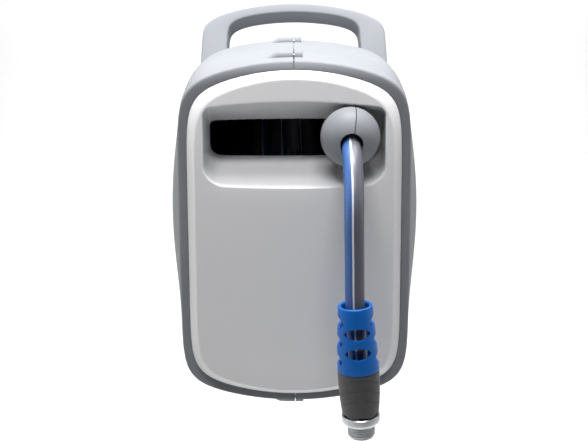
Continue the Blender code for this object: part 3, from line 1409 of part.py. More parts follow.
def build_bend_guard(look):
    flare = GUARD_BOTTOM_RADIUS - GUARD_TOP_RADIUS
    wall = GUARD_WALL
    ring = GUARD_RING
    inner = HOSE_RADIUS + GAP
    end = GUARD_LENGTH
    profile = [(inner, 0), (GUARD_TOP_RADIUS, 0), (GUARD_TOP_RADIUS + flare * 0.6, end * 0.5)]
    profile += [(GUARD_BOTTOM_RADIUS, end), (inner, end), (inner, end - ring)]
    profile += [(GUARD_BOTTOM_RADIUS - wall, end - ring), (GUARD_TOP_RADIUS + flare * 0.6 - wall, end * 0.5)]
    profile += [(GUARD_TOP_RADIUS - wall + flare * 0.05, ring), (inner, ring)]
    mesh = finish_mesh(turned(profile, end_spot(0), end_way()), "bend_guard")
    across, forward, down = frame_of(end_way())
    windows = []
    for column in range(GUARD_COLUMNS):
        angle = 2 * math.pi * column / GUARD_COLUMNS
        way = across * math.cos(angle) + forward * math.sin(angle)
        sideways = down.cross(way)
        facing = abs(way.y) > 0.5
        places = GUARD_FRONT_WINDOWS if facing else GUARD_SIDE_WINDOWS
        for along in places:
            centre = end_spot(along) + way * (inner + GAP)
            lens = [
                centre + sideways * GUARD_WINDOW_WIDTH / 2 * math.cos(a) + down * GUARD_WINDOW_HEIGHT / 2 * math.sin(a)
                for a in [2 * math.pi * (k + 0.5) / LENS_POINTS for k in range(LENS_POINTS)]
            ]
            windows.append(prism(lens, way * GUARD_BOTTOM_RADIUS))
    place("bend_guard", cut(mesh, *windows), look, origin=end_spot(0))


def build_grip(look):
    inner = HOSE_RADIUS + GAP
    length = GRIP_LENGTH
    profile = [(inner, 0), (GRIP_RADIUS, 0), (GRIP_RADIUS - 0.0004, length * 0.5)]
    profile += [(GRIP_END_RADIUS, length), (inner, length)]
    start = end_spot(GUARD_LENGTH + GAP)
    place("grip", finish_mesh(turned(profile, start, end_way()), "grip"), look, origin=start)


def build_spigot(look):
    start = GUARD_LENGTH + GRIP_LENGTH + 2 * GAP
    collar = sleeve(end_spot(start), end_way(), COLLAR_RADIUS, SPIGOT_RADIUS + GAP, COLLAR_LENGTH)
    place("end_collar", finish_mesh(collar, "end_collar"), look, origin=end_spot(start))
    length = COLLAR_LENGTH + SPIGOT_LENGTH
    shape = sleeve(end_spot(start), end_way(), SPIGOT_RADIUS, SPIGOT_BORE, length)
    place("end_spigot", finish_mesh(shape, "end_spigot"), look, origin=end_spot(start))


def main():
    clear_scene()
    looks = make_materials()
    build_bracket(looks["slate_plastic"])
    build_pin(looks["steel"], looks["inner_plastic"])
    build_swivel_bushes(looks["gear_plastic"])
    for name in SIDE:
        build_shell(name, looks["slate_plastic"])
    build_case_screws(looks["steel"])
    build_fascia(looks["white_plastic"])
    build_handle(looks["slate_plastic"])
    build_axle(looks["steel"])
    build_inlet(looks["inner_plastic"], looks["seal_rubber"], looks["brass"])
    build_hub(looks["inner_plastic"])
    for name in SIDE:
        build_flange(name, looks["inner_plastic"])
    build_drum_bushes(looks["gear_plastic"])
    build_connector(looks["brass"], looks["seal_rubber"])
    build_core(looks["hose_skin"])
    build_winding(looks["hose_skin"])
    build_cassette(looks["inner_plastic"])
    build_arbor(looks["gear_plastic"])
    build_power_spring(looks["spring_steel"])
    build_ratchet(looks["gear_plastic"])
    build_pawl(looks["gear_plastic"], looks["steel"])
    build_gears(looks["gear_plastic"], looks["steel"])
    build_wind_screw(looks["steel"], looks["gear_plastic"])
    build_guide_rod(looks["steel"])
    build_carriage(looks["inner_plastic"], looks["steel"], looks["gear_plastic"])
    build_lead(looks["hose_skin"])
    build_ball(looks["slate_plastic"])
    build_tail(looks["hose_skin"])
    build_bend_guard(looks["blue_rubber"])
    build_grip(looks["grip_rubber"])
    build_spigot(looks["plated_metal"])


main()
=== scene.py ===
"""The looks of a wall-hung retractable hose reel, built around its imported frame, in metres."""

import json
from math import cos, pi, radians, sin, sqrt

import bmesh
import bpy
from mathutils import Matrix, Vector

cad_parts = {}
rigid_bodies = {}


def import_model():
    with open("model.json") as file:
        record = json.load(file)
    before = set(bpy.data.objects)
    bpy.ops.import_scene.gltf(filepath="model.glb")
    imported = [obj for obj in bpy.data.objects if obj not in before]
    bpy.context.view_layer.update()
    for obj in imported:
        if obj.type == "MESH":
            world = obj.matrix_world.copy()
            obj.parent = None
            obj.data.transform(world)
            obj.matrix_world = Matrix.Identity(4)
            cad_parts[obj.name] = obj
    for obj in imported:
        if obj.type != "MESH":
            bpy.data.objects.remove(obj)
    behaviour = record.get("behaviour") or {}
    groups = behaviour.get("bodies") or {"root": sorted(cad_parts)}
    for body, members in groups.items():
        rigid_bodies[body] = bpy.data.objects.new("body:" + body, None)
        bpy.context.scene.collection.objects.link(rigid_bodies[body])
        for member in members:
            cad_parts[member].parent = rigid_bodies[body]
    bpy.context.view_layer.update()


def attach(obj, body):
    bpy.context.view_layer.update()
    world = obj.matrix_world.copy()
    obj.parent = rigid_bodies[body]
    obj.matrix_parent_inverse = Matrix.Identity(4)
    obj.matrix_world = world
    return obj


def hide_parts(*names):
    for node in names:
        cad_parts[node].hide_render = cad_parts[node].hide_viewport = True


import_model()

# Camera
CAMERA_PLACE = (0.0005, -1.474, 0.2524)
CAMERA_ROLL = radians(0.25)
CAMERA_PITCH = radians(75.7)
CAMERA_LENS = 60.0
SENSOR_WIDTH = 36.0

# Sizes of the case, the hose and its end pieces
GAP = 0.0003
SEAM_X = 0.0003
SEAM_EDGE = 0.0006
FRONT_Y = -0.540
RIM_TOP_Z = 0.170
CASE_DEPTH = 0.365
CASE_BOTTOM = -0.347
RIM_HALF_WIDTH = 0.1135
BELLY_GROWTH = 0.003
BELLY_DEPTH = 0.120
REAR_HALF_WIDTH = 0.104
TOP_RISE = 0.0045
RIDGE_DEPTH = 0.190
REAR_DROP = 0.016
REAR_ROUNDING = 0.036
STRAIGHT_END = CASE_DEPTH - REAR_ROUNDING
CASE_SQUARENESS = 10
CASE_TAPER = 0.014
RIM_CROWN = 0.025
BELLY_CROWN = 0.018
BOTTOM_CROWN = 0.024
SWELL = 0.016
SWELL_HEIGHT = -0.165
SWELL_REACH = 0.140
WALL = 0.003
RIM_WIDTH = 0.0085
RIM_THICKNESS = 0.005
RIM_EDGE_RADIUS = 0.002
RIM_INNER_EDGE = 0.0007
TOP_LEAN = 0.0042
TOP_LEAN_HEIGHT = 0.045
TOP_LEAN_DEPTH = 0.03
FACE_PROUD = 0.0185
FACE_CROWN = 0.0018
FACE_LEAN = 0.14
FACE_LEAN_HEIGHT = -0.050
FACE_BEND_HEIGHT = -0.200
FACE_FOOT = 0.005
FACE_EASE = 2.7
BEVEL_WIDTH = 0.009
FASCIA_WALL = 0.003
FLANGE_FRONT = RIM_THICKNESS + GAP
RECESS_HALF_WIDTH = 0.0870
RECESS_TOP = -0.0384
RECESS_BOTTOM = -0.1189
RECESS_LIP_RADIUS = 0.0015
RECESS_CROWN = 0.0055
RECESS_CORNERS = (0.0075, 0.020)
SLOT_CROWN = 0.0015
SLOT_CORNERS = (0.006, 0.012)
SLOT_HALF_WIDTH = 0.0848
SLOT_TOP = -0.0608
SLOT_BOTTOM = -0.0986
SLOT_DEPTH = 0.040
SLOT_EDGE = 0.0004
HOSE_RADIUS = 0.00905
HOSE_BORE = HOSE_RADIUS + GAP
BALL_RADIUS = 0.0286
BALL_PLACE = (0.0535, -0.009, -0.0712)
BALL_ROLL = radians(-10)
BALL_MOUTH_PITCH = radians(7)
BALL_MOUTH_RADIUS = 0.0108
BALL_LIP = 0.0012
HOSE_EXIT_PITCH = radians(17)
HOSE_END_LEAN = radians(3.4)
HOSE_REACH = 0.075
TAIL_STRAIGHT = 0.031
GUARD_X = 0.0551
GUARD_TOP = -0.214
GUARD_LENGTH = 0.063
GUARD_TOP_RADIUS = 0.0158
GUARD_BOTTOM_RADIUS = 0.0196
GUARD_WALL = 0.0028
GUARD_RING = 0.004
GUARD_EDGE = 0.0005
GUARD_WINDOW_WIDTH = 0.0235
GUARD_WINDOW_HEIGHT = 0.0118
GUARD_FRONT_WINDOWS = (0.0238, 0.0424)
GUARD_SIDE_WINDOWS = (0.0146, 0.0331, 0.0515)
GRIP_LENGTH = 0.0445
GRIP_RADIUS = 0.0194
GRIP_END_RADIUS = 0.0170
GRIP_GROOVES = (0.0125, 0.0225, 0.0325)
GRIP_GROOVE_RISE = 0.0085
GRIP_GROOVE_DEPTH = 0.0005
GRIP_GROOVE_WIDTH = 0.0006
GRIP_SCALLOP = 0.0016
COLLAR_TOP = GUARD_LENGTH + GRIP_LENGTH + 2 * GAP
COLLAR_LENGTH = 0.0095
COLLAR_RADIUS = 0.0180
SPIGOT_RADIUS = 0.0130
SPIGOT_BORE = 0.0085
SPIGOT_LENGTH = 0.0135
DRUM_DEPTH = 0.199
HOSE_WINDING_RADIUS = 0.1156
TURN_PITCH = 0.01855
WINDING_TURNS = 5.75

# Fineness of the visible forms
OUTLINE_POINTS = 49
CASE_SPANS = 26
REAR_STEPS = 12
ROUND_STEPS = 64
BORE_STEPS = 48
END_STEPS = 96
HOSE_SIDES = 32
WINDING_SIDES = 20
HOSE_SPACING = 0.004
UV_PER_METRE = 10
GREY_SIDE_UV = (0.1, 0)

# Sides of the case, and the ways
SIDES = (("left", -1), ("right", 1))
RIGHT = Vector((1, 0, 0))
BACK = Vector((0, 1, 0))
UP = Vector((0, 0, 1))


def spot(x, depth, height):
    """A place in the case, from the rim's front plane and top edge."""
    return Vector((x, FRONT_Y + depth, RIM_TOP_Z + height))


def quarter_turn(steps, first=0):
    """Even angles through a quarter turn."""
    return [pi / 2 * k / steps for k in range(first, steps + 1)]


def path_lengths(points):
    """Distance walked along a row of points, at each of them."""
    walked = [0.0]
    for near, far in zip(points, points[1:]):
        walked.append(walked[-1] + (far - near).length)
    return walked


BALL_CENTRE = spot(*BALL_PLACE)
DRUM_CENTRE = spot(0, DRUM_DEPTH, BALL_PLACE[2] - HOSE_WINDING_RADIUS)


def add_object(name, data):
    """Puts a mesh, a light or a camera in the scene."""
    made = bpy.data.objects.new(name, data)
    bpy.context.scene.collection.objects.link(made)
    return made


def mesh_from(shape, name):
    """Turns a bmesh into a mesh and frees it."""
    mesh = bpy.data.meshes.new(name)
    shape.to_mesh(mesh)
    shape.free()
    return mesh


def place_camera():
    data = bpy.data.cameras.new("camera")
    data.lens = CAMERA_LENS
    data.sensor_width = SENSOR_WIDTH
    camera = add_object("camera", data)
    camera.location = CAMERA_PLACE
    camera.rotation_euler = (CAMERA_PITCH, CAMERA_ROLL, 0)
    bpy.context.scene.camera = camera


# Shader building

class Shader:
    """Adds nodes to one new material and joins them."""

    def __init__(self, name):
        self.material = bpy.data.materials.new(name)
        self.material.use_nodes = True
        self.tree = self.material.node_tree

    def fill(self, node, values):
        """Gives a node's inputs their values, or joins other nodes' outputs to them."""
        for name, value in values.items():
            socket = node.inputs[name.replace("_", " ")]
            if isinstance(value, bpy.types.NodeSocket):
                self.tree.links.new(value, socket)
            else:
                socket.default_value = value

    def node(self, kind, **values):
        made = self.tree.nodes.new("ShaderNode" + kind)
        self.fill(made, values)
        return made

    def finish(self, **values):
        """Gives the surface its values and returns the material."""
        self.fill(self.tree.nodes["Principled BSDF"], values)
        return self.material

    def noise(self, scale, detail=2.0, roughness=0.5, vector=None):
        vector = vector or self.node("TexCoord").outputs["Object"]
        made = self.node("TexNoise", Scale=scale, Detail=detail, Roughness=roughness, Vector=vector)
        return made.outputs["Fac"]

    def spread(self, source, low, high, start=0.3, end=0.7):
        """Maps the middle of a value's range to another range."""
        limits = {"From_Min": start, "From_Max": end, "To_Min": low, "To_Max": high}
        return self.node("MapRange", Value=source, **limits).outputs["Result"]

    def blend(self, share, first, second):
        """Mixes two colours by a share from 0 to 1."""
        made = self.node("Mix")
        made.data_type = "RGBA"
        self.tree.links.new(share, made.inputs[0])
        for index, colour in ((6, first), (7, second)):
            made.inputs[index].default_value = (*colour, 1)
        return made.outputs[2]

    def bump(self, height, strength, distance, **normal):
        made = self.node("Bump", Height=height, Strength=strength, Distance=distance, **normal)
        return made.outputs["Normal"]


def moulded(name, colour, roughness, grain=2600, grain_depth=0.00002, mottle=0.04, shine=0.5):
    """Moulded plastic: a faint flow mottle, a fine spark-eroded grain and uneven gloss."""
    shade = Shader(name)
    dark = tuple(part * (1 - mottle) for part in colour)
    light = tuple(min(part * (1 + mottle), 1) for part in colour)
    slow = shade.noise(9, 3)
    uneven = shade.noise(120, 4, 0.6)
    flow = shade.bump(shade.noise(22), 0.25, 0.0004)
    fine = shade.noise(grain, roughness=0.6)
    return shade.finish(
        Base_Color=shade.blend(shade.spread(slow, 0, 1), dark, light),
        Roughness=shade.spread(uneven, roughness - 0.04, roughness + 0.05),
        Normal=shade.bump(fine, 0.5, grain_depth, Normal=flow),
        Specular_IOR_Level=shine,
    )


def rubbery(name, colour, roughness):
    """Soft plastic: fine matt grain with faint dusty lightening."""
    shade = Shader(name)
    light = tuple(min(part * 1.25 + 0.01, 1) for part in colour)
    dust = shade.noise(240, 5, 0.7)
    fine = shade.noise(3200, 3, 0.6)
    return shade.finish(
        Base_Color=shade.blend(shade.spread(dust, 0, 0.6, start=0.4, end=0.75), colour, light),
        Roughness=shade.spread(dust, roughness, roughness + 0.12),
        Normal=shade.bump(fine, 0.5, 0.00003),
        Sheen_Weight=0.1,
    )


def metal(name, colour, roughness):
    """Plated or turned metal: fine tool lines and slight tarnish."""
    shade = Shader(name)
    dull = tuple(part * 0.78 for part in colour)
    places = shade.node("TexCoord").outputs["Object"]
    stretched = shade.node("Mapping", Vector=places, Scale=(1, 1, 18)).outputs["Vector"]
    lines = shade.noise(700, 3, 0.6, stretched)
    tarnish = shade.noise(70, 4, 0.6)
    return shade.finish(
        Base_Color=shade.blend(shade.spread(tarnish, 0, 1, start=0.35), colour, dull),
        Roughness=shade.spread(lines, roughness - 0.07, roughness + 0.12),
        Normal=shade.bump(lines, 0.15, 0.00003),
        Metallic=1.0,
    )


def hose_skin(name):
    """Two-colour hose, blue and grey, with a white line where they meet."""
    shade = Shader(name)
    around = shade.node("SeparateXYZ", Vector=shade.node("TexCoord").outputs["UV"]).outputs["X"]
    ramp = shade.node("ValToRGB", Fac=around)
    blue = (0.045, 0.125, 0.36, 1)
    white = (0.72, 0.74, 0.76, 1)
    grey = (0.115, 0.118, 0.145, 1)
    stops = [(0.262, grey), (0.267, white), (0.291, white), (0.296, blue)]
    stops += [(0.704, blue), (0.709, white), (0.733, white), (0.738, grey)]
    for element, position in zip(ramp.color_ramp.elements, (0, 1)):
        element.position = position
        element.color = grey
    for position, colour in stops:
        ramp.color_ramp.elements.new(position).color = colour
    uneven = shade.noise(160, 4, 0.6)
    fine = shade.noise(1500, 3)
    return shade.finish(
        Base_Color=ramp.outputs["Color"],
        Roughness=shade.spread(uneven, 0.30, 0.42),
        Normal=shade.bump(fine, 0.35, 0.00003),
    )


def make_materials():
    dull = {"grain_depth": 0.00004, "shine": 0.22}
    soft = {"grain": 2000, "mottle": 0.06, "shine": 0.35}
    return {
        "slate_plastic": moulded("slate_plastic", (0.225, 0.235, 0.255), 0.48, **dull),
        # A lighter copy of the slate plastic for the handle, which is the same moulding as the case:
        # painted light, standing in for the light its leaned-back front catches
        "handle_slate_painted_light": moulded("handle_slate_painted_light", (0.30, 0.312, 0.336), 0.48, **dull),
        "white_plastic": moulded("white_plastic", (0.80, 0.80, 0.81), 0.34, grain=3800, mottle=0.012),
        "inner_plastic": moulded("inner_plastic", (0.012, 0.012, 0.014), 0.5),
        "gear_plastic": moulded("gear_plastic", (0.74, 0.73, 0.68), 0.45),
        "steel": metal("steel", (0.55, 0.56, 0.57), 0.28),
        "spring_steel": metal("spring_steel", (0.22, 0.24, 0.28), 0.3),
        "brass": metal("brass", (0.66, 0.48, 0.22), 0.28),
        "plated_metal": metal("plated_metal", (0.70, 0.71, 0.73), 0.34),
        "hose_skin": hose_skin("hose_skin"),
        "wound_core": moulded("wound_core", (0.06, 0.10, 0.2), 0.5),
        "blue_rubber": moulded("blue_rubber", (0.004, 0.13, 0.50), 0.38, **soft),
        "grip_rubber": rubbery("grip_rubber", (0.055, 0.055, 0.058), 0.5),
        "seal_rubber": rubbery("seal_rubber", (0.02, 0.02, 0.02), 0.55),
    }


# Mesh building

def finish_shape(shape, name, look, body, node, smooth=35):
    """Makes a bmesh a piece that rides on a body, in place of a node of the frame."""
    bmesh.ops.recalc_face_normals(shape, faces=shape.faces)
    mesh = mesh_from(shape, name)
    mesh.shade_smooth()
    mesh.set_sharp_from_angle(angle=radians(smooth))
    mesh.materials.append(LOOKS[look])
    made = add_object(name, mesh)
    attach(made, body)
    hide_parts(node)
    return made


def loft(rings, loop=False):
    """Bridges rings of equally many points, closed at both ends or joined in a loop."""
    shape = bmesh.new()
    rows = [[shape.verts.new(point) for point in ring] for ring in rings]
    pairs = list(zip(rows, rows[1:])) + ([(rows[-1], rows[0])] if loop else [])
    for first, second in pairs:
        for k in range(len(first)):
            after = (k + 1) % len(first)
            shape.faces.new((first[k], first[after], second[after], second[k]))
    if not loop:
        shape.faces.new(rows[0][::-1])
        shape.faces.new(rows[-1])
    return shape


def frame_of(axis):
    """Two directions square to an axis, and the axis itself."""
    axis = Vector(axis).normalized()
    first = axis.cross(UP if abs(axis.z) < 0.9 else BACK).normalized()
    return first, axis.cross(first).normalized(), axis


def turned(profile, start, axis, steps=ROUND_STEPS, wave=None):
    """A solid turned from a closed (radius, distance) outline, which wave can shift."""
    first, second, axis = frame_of(axis)
    start = Vector(start)
    shape = bmesh.new()
    columns = []
    for index, (radius, along) in enumerate(profile):
        if radius == 0:
            columns.append([shape.verts.new(start + axis * along)] * steps)
            continue
        column = []
        for k in range(steps):
            angle = 2 * pi * k / steps
            out, down = wave(index, radius, along, angle) if wave else (radius, along)
            around = first * cos(angle) + second * sin(angle)
            column.append(shape.verts.new(start + axis * down + around * out))
        columns.append(column)
    for near, far in zip(columns, columns[1:] + columns[:1]):
        for k in range(steps):
            after = (k + 1) % steps
            corners = list(dict.fromkeys((near[k], near[after], far[after], far[k])))
            if len(corners) > 2:
                shape.faces.new(corners)
    return shape


def tube_rings(shape, points, radius, side, sides):
    """Rings of corners along a tube, from a start side carried along without twist."""
    rings = []
    for k, point in enumerate(points):
        ahead = points[min(k + 1, len(points) - 1)] - points[max(k - 1, 0)]
        ahead.normalize()
        side = (side - ahead * side.dot(ahead)).normalized()
        other = ahead.cross(side)
        rings.append([
            shape.verts.new(point + radius * (side * cos(a) + other * sin(a)))
            for a in [2 * pi * j / sides for j in range(sides)]
        ])
    return rings


def tube_shape(points, radius, start_side, sides=HOSE_SIDES):
    """A round tube whose UV goes once round from the start side."""
    shape = bmesh.new()
    layer = shape.loops.layers.uv.new("UVMap")
    walked = path_lengths(points)
    rings = tube_rings(shape, points, radius, start_side, sides)
    for k, (near, far) in enumerate(zip(rings, rings[1:])):
        for j in range(sides):
            after = (j + 1) % sides
            face = shape.faces.new((near[j], near[after], far[after], far[j]))
            marks = ((j, k), (j + 1, k), (j + 1, k + 1), (j, k + 1))
            for loop, (around, along) in zip(face.loops, marks):
                loop[layer].uv = (around / sides, walked[along] * UV_PER_METRE)
    for ring in (rings[0][::-1], rings[-1]):
        for loop in shape.faces.new(ring).loops:
            loop[layer].uv = GREY_SIDE_UV
    return shape


# Outlines

def squarish_point(angle, half_width, top, bottom, power, crowns, taper=0.0):
    """A point of a squarish outline with crowned top and bottom, at an angle above level."""
    reach = (top - bottom) / 2
    across = cos(angle)
    upward = sin(angle)
    radius = (abs(across / half_width) ** power + abs(upward / reach) ** power) ** (-1 / power)
    x = radius * across
    rise = radius * upward
    rise -= crowns[0 if rise > 0 else 1] * (x / half_width) ** 2 * rise / reach
    return x * (1 - taper * rise / reach), (top + bottom) / 2 + rise


def rounded_point(angle, half_width, top, bottom, corners, crowns):
    """A point of a rounded rectangle with crowned top and bottom, at an angle above level."""
    half = 0 if angle > 0 else 1
    reach = (top - bottom) / 2
    across = cos(angle)
    upward = abs(sin(angle))
    side = half_width - corners[half]
    edge = reach - corners[half]
    distance = 1 / max(across / half_width, upward / reach)
    if across * distance > side and upward * distance > edge:
        middle = across * side + upward * edge
        distance = middle + sqrt(middle ** 2 - side ** 2 - edge ** 2 + corners[half] ** 2)
    x = across * distance
    rise = sin(angle) * distance
    rise -= crowns[half] * (x / half_width) ** 2 * rise / reach
    return x, (top + bottom) / 2 + rise


def belly_share(depth):
    """How far the case has changed from the rim's shape to the belly's."""
    return sin(min(max(depth / BELLY_DEPTH, 0), 1) * pi / 2)


def rear_share(depth):
    """How far the case has narrowed from the belly to the rear."""
    return max((depth - BELLY_DEPTH) / (CASE_DEPTH - BELLY_DEPTH), 0) ** 2


def case_crown(depth):
    return RIM_CROWN + (BELLY_CROWN - RIM_CROWN) * belly_share(depth)


def case_half_width(depth):
    """Half width of the case where its sides don't swell."""
    full = RIM_HALF_WIDTH + BELLY_GROWTH * belly_share(depth)
    return full - (full - REAR_HALF_WIDTH) * rear_share(depth)


def side_swell(depth, height):
    """How far the sides stand out round the drum."""
    off = (height - SWELL_HEIGHT) / SWELL_REACH
    return SWELL * max(1 - off * off, 0) ** 1.5 * belly_share(depth) * (1 - rear_share(depth))


def outline_point(angle, half_width, top, bottom, depth):
    """One point of the case's outline at a depth."""
    crowns = (case_crown(depth), BOTTOM_CROWN)
    x, height = squarish_point(angle, half_width, top, bottom, CASE_SQUARENESS, crowns, CASE_TAPER)
    return x + side_swell(depth, height) * x / half_width, height


def spread_angles(outline):
    """Angles from the top middle to the bottom middle, closer where the outline turns."""
    fine = 720
    turn_worth = 0.09
    angles = [pi / 2 - pi * k / fine for k in range(fine + 1)]
    points = [Vector(outline(angle)) for angle in angles]
    walked = [0.0]
    for k in range(1, len(points)):
        step = points[k] - points[k - 1]
        turn = step.angle(points[min(k + 1, fine)] - points[k], 0) if k < fine else 0
        walked.append(walked[-1] + step.length + turn_worth * turn)
    marks = [walked[-1] * k / (OUTLINE_POINTS - 1) for k in range(OUTLINE_POINTS)]
    return [angles[min(range(fine + 1), key=lambda k: abs(walked[k] - mark))] for mark in marks]


CASE_ANGLES = spread_angles(
    lambda angle: outline_point(angle, RIM_HALF_WIDTH, 0, CASE_BOTTOM, BELLY_DEPTH)
)


def case_top(depth):
    if depth < RIDGE_DEPTH:
        return TOP_RISE * sin(max(depth, 0) / RIDGE_DEPTH * pi / 2)
    share = (depth - RIDGE_DEPTH) / (CASE_DEPTH - RIDGE_DEPTH)
    return TOP_RISE - (TOP_RISE + REAR_DROP) * share ** 2


def case_bottom(depth):
    """Height of the underside, which rises half as much as the top drops."""
    return CASE_BOTTOM - (case_top(depth) - TOP_RISE) * 0.5 * (depth > RIDGE_DEPTH)


def half_outline(depth, inset, size_depth=None):
    """The case's outline on the +X side, drawn in by an inset, with the size it has at a depth."""
    size_depth = depth if size_depth is None else size_depth
    half_width = case_half_width(size_depth) - inset
    top = case_top(size_depth) - inset
    bottom = case_bottom(size_depth) + inset
    points = [outline_point(angle, half_width, top, bottom, size_depth) for angle in CASE_ANGLES]
    return [spot(x, depth, height) for x, height in points]


def whole_ring(half):
    """A closed ring from its +X half, whose ends lie on the middle plane."""
    mirrored = [Vector((-p.x, p.y, p.z)) for p in reversed(half[1:-1])]
    return half + mirrored


# Hose

def forward_way(pitch):
    """The way forward, turned down by a pitch."""
    return Vector((0, -cos(pitch), -sin(pitch)))


EXIT_WAY = forward_way(HOSE_EXIT_PITCH)
END_WAY = Vector((sin(HOSE_END_LEAN), 0, -cos(HOSE_END_LEAN)))


def end_spot(along):
    """A place on the end pieces' axis, measured down from the bend guard's top."""
    return spot(GUARD_X, BALL_PLACE[1] - HOSE_REACH, GUARD_TOP) + END_WAY * along


def tail_route():
    """Places along the hanging hose: out of the ball, round one bend and down to the grip."""
    start = BALL_CENTRE + EXIT_WAY * (HOSE_RADIUS * sin(HOSE_EXIT_PITCH) + GAP)
    straight = BALL_CENTRE + EXIT_WAY * TAIL_STRAIGHT
    drop = pi / 2 - HOSE_EXIT_PITCH
    bend = (HOSE_REACH - TAIL_STRAIGHT * cos(HOSE_EXIT_PITCH)) / (1 - cos(drop))
    centre = straight + bend * Vector((0, sin(HOSE_EXIT_PITCH), -cos(HOSE_EXIT_PITCH)))
    route = [start, straight]
    for k in (1, 2, 3, 4):
        angle = HOSE_EXIT_PITCH + drop * k / 4
        route.append(centre + bend * Vector((0, -sin(angle), cos(angle))))
    foot = end_spot(0)
    route.append(route[-1].lerp(foot, 0.5))
    route.append(foot)
    route.append(end_spot(GUARD_LENGTH))
    route.append(end_spot(GUARD_LENGTH + GAP + GRIP_LENGTH))
    return route


def smooth_route(route, spacing):
    """Even points along a smooth curve through the places of a route."""
    fine = 24
    dense = []
    padded = [2 * route[0] - route[1]] + route + [2 * route[-1] - route[-2]]
    for k in range(1, len(padded) - 2):
        before, near, far, after = padded[k - 1:k + 3]
        for step in range(fine):
            t = step / fine
            dense.append(0.5 * (
                2 * near + (far - before) * t + (2 * before - 5 * near + 4 * far - after) * t ** 2
                + (3 * near - before - 3 * far + after) * t ** 3
            ))
    dense.append(route[-1])
    walked = path_lengths(dense)
    count = round(walked[-1] / spacing)
    points = []
    index = 0
    for k in range(count + 1):
        target = walked[-1] * k / count
        while index < len(walked) - 2 and walked[index + 1] < target:
            index += 1
        share = (target - walked[index]) / (walked[index + 1] - walked[index])
        points.append(dense[index].lerp(dense[index + 1], share))
    return points, walked[-1]


def build_hose(end_pieces):
    points, length = smooth_route(tail_route(), HOSE_SPACING)
    shape = tube_shape(points, HOSE_RADIUS, RIGHT)
    hose = finish_shape(shape, "hanging_hose", "hose_skin", "hose_end", "hose_tail")
    rear = spot(BALL_PLACE[0], DRUM_DEPTH - 2 * HOSE_RADIUS - GAP, BALL_PLACE[2])
    lead = [rear.lerp(BALL_CENTRE, k / 12) for k in range(13)]
    shape = tube_shape(lead, HOSE_RADIUS, RIGHT)
    finish_shape(shape, "inner_hose", "hose_skin", "hose_end", "hose_lead")


def winding_points():
    """The outer layer of hose, from the lead at the top, with both ends straight."""
    steps = 48
    count = round(WINDING_TURNS * steps)
    points = []
    for k in range(count + 1):
        angle = pi / 2 - 2 * pi * k / steps
        x = BALL_PLACE[0] - TURN_PITCH * k / steps
        around = Vector((x, HOSE_WINDING_RADIUS * cos(angle), HOSE_WINDING_RADIUS * sin(angle)))
        points.append(DRUM_CENTRE + around)
    last_turn = 2 * pi * count / steps
    heading = Vector((0, cos(last_turn), -sin(last_turn)))
    start = points[0] - BACK * 2 * HOSE_RADIUS
    return [start] + points + [points[-1] + heading * 2 * HOSE_RADIUS]


def build_winding():
    shape = tube_shape(winding_points(), HOSE_RADIUS, UP, WINDING_SIDES)
    finish_shape(shape, "wound_hose", "hose_skin", "drum", "hose_winding")


# Booleans and edges

def as_mesh(shape):
    """A mesh from a closed shape, with its faces outwards."""
    bmesh.ops.recalc_face_normals(shape, faces=shape.faces)
    if shape.calc_volume(signed=True) < 0:
        bmesh.ops.reverse_faces(shape, faces=shape.faces)
    return mesh_from(shape, "work")


def carve(base, tools):
    """Cuts solids away from a shape with one exact Boolean."""
    holder = add_object("work", as_mesh(base))
    group = bpy.data.collections.new("tools")
    bpy.context.scene.collection.children.link(group)
    for tool in tools:
        group.objects.link(bpy.data.objects.new("tool", as_mesh(tool)))
    modifier = holder.modifiers.new("cut", "BOOLEAN")
    modifier.operation = "DIFFERENCE"
    modifier.solver = "EXACT"
    modifier.operand_type = "COLLECTION"
    modifier.collection = group
    bpy.context.view_layer.update()
    graph = bpy.context.evaluated_depsgraph_get()
    mesh = bpy.data.meshes.new_from_object(holder.evaluated_get(graph))
    for helper in list(group.objects) + [holder]:
        bpy.data.objects.remove(helper, do_unlink=True)
    bpy.data.collections.remove(group)
    result = bmesh.new()
    result.from_mesh(mesh)
    bpy.data.meshes.remove(mesh)
    bmesh.ops.remove_doubles(result, verts=result.verts, dist=0.000002)
    return result


def round_edges(shape, width, angle=50):
    """Rounds every edge of a solid that is sharper than an angle."""
    sharp = [e for e in shape.edges if e.is_manifold and e.calc_face_angle(0) > radians(angle)]
    bmesh.ops.bevel(
        shape, geom=sharp, offset=width, offset_type="OFFSET", segments=2, profile=0.5,
        affect="EDGES", clamp_overlap=True,
    )
    return shape


def join_shapes(*shapes):
    """Collects closed shapes in one mesh."""
    whole = bmesh.new()
    for shape in shapes:
        mesh = as_mesh(shape)
        whole.from_mesh(mesh)
        bpy.data.meshes.remove(mesh)
    return whole


def prism(outline, along):
    return loft([outline, [point + along for point in outline]])


def rod(start, axis, radius, length, steps=ROUND_STEPS):
    return turned([(0, 0), (radius, 0), (radius, length), (0, length)], start, axis, steps)


# Shells

BOSS_RADIUS = 0.0065
BOSS_RISE = 0.0055
BOSS_LEFT_LENGTH = 0.031
BOSS_RAMP = 0.015
BOSS_RIGHT_LENGTH = 0.0085
BOSS_DEPTHS = (0.035, 0.190)
BOTTOM_BOSS_DEPTH = 0.0105
SCREW_HEAD_RADIUS = 0.0036
SCREW_SEAT_X = 0.005
PIN_BEHIND_CASE = 0.035
PIN_RADIUS = 0.006
LUG_BORE = PIN_RADIUS + 0.0025 + 2 * GAP
LUG_RADIUS = LUG_BORE + 0.0075
LUG_HEIGHT = 0.024
LUG_SPAN = 0.232
LUG_CENTRE = -0.168
LUG_EDGE = 0.0006
INLET_X = -0.096
INLET_PIPE_RADIUS = 0.0105
INLET_HOLE_HEIGHT = 0.048


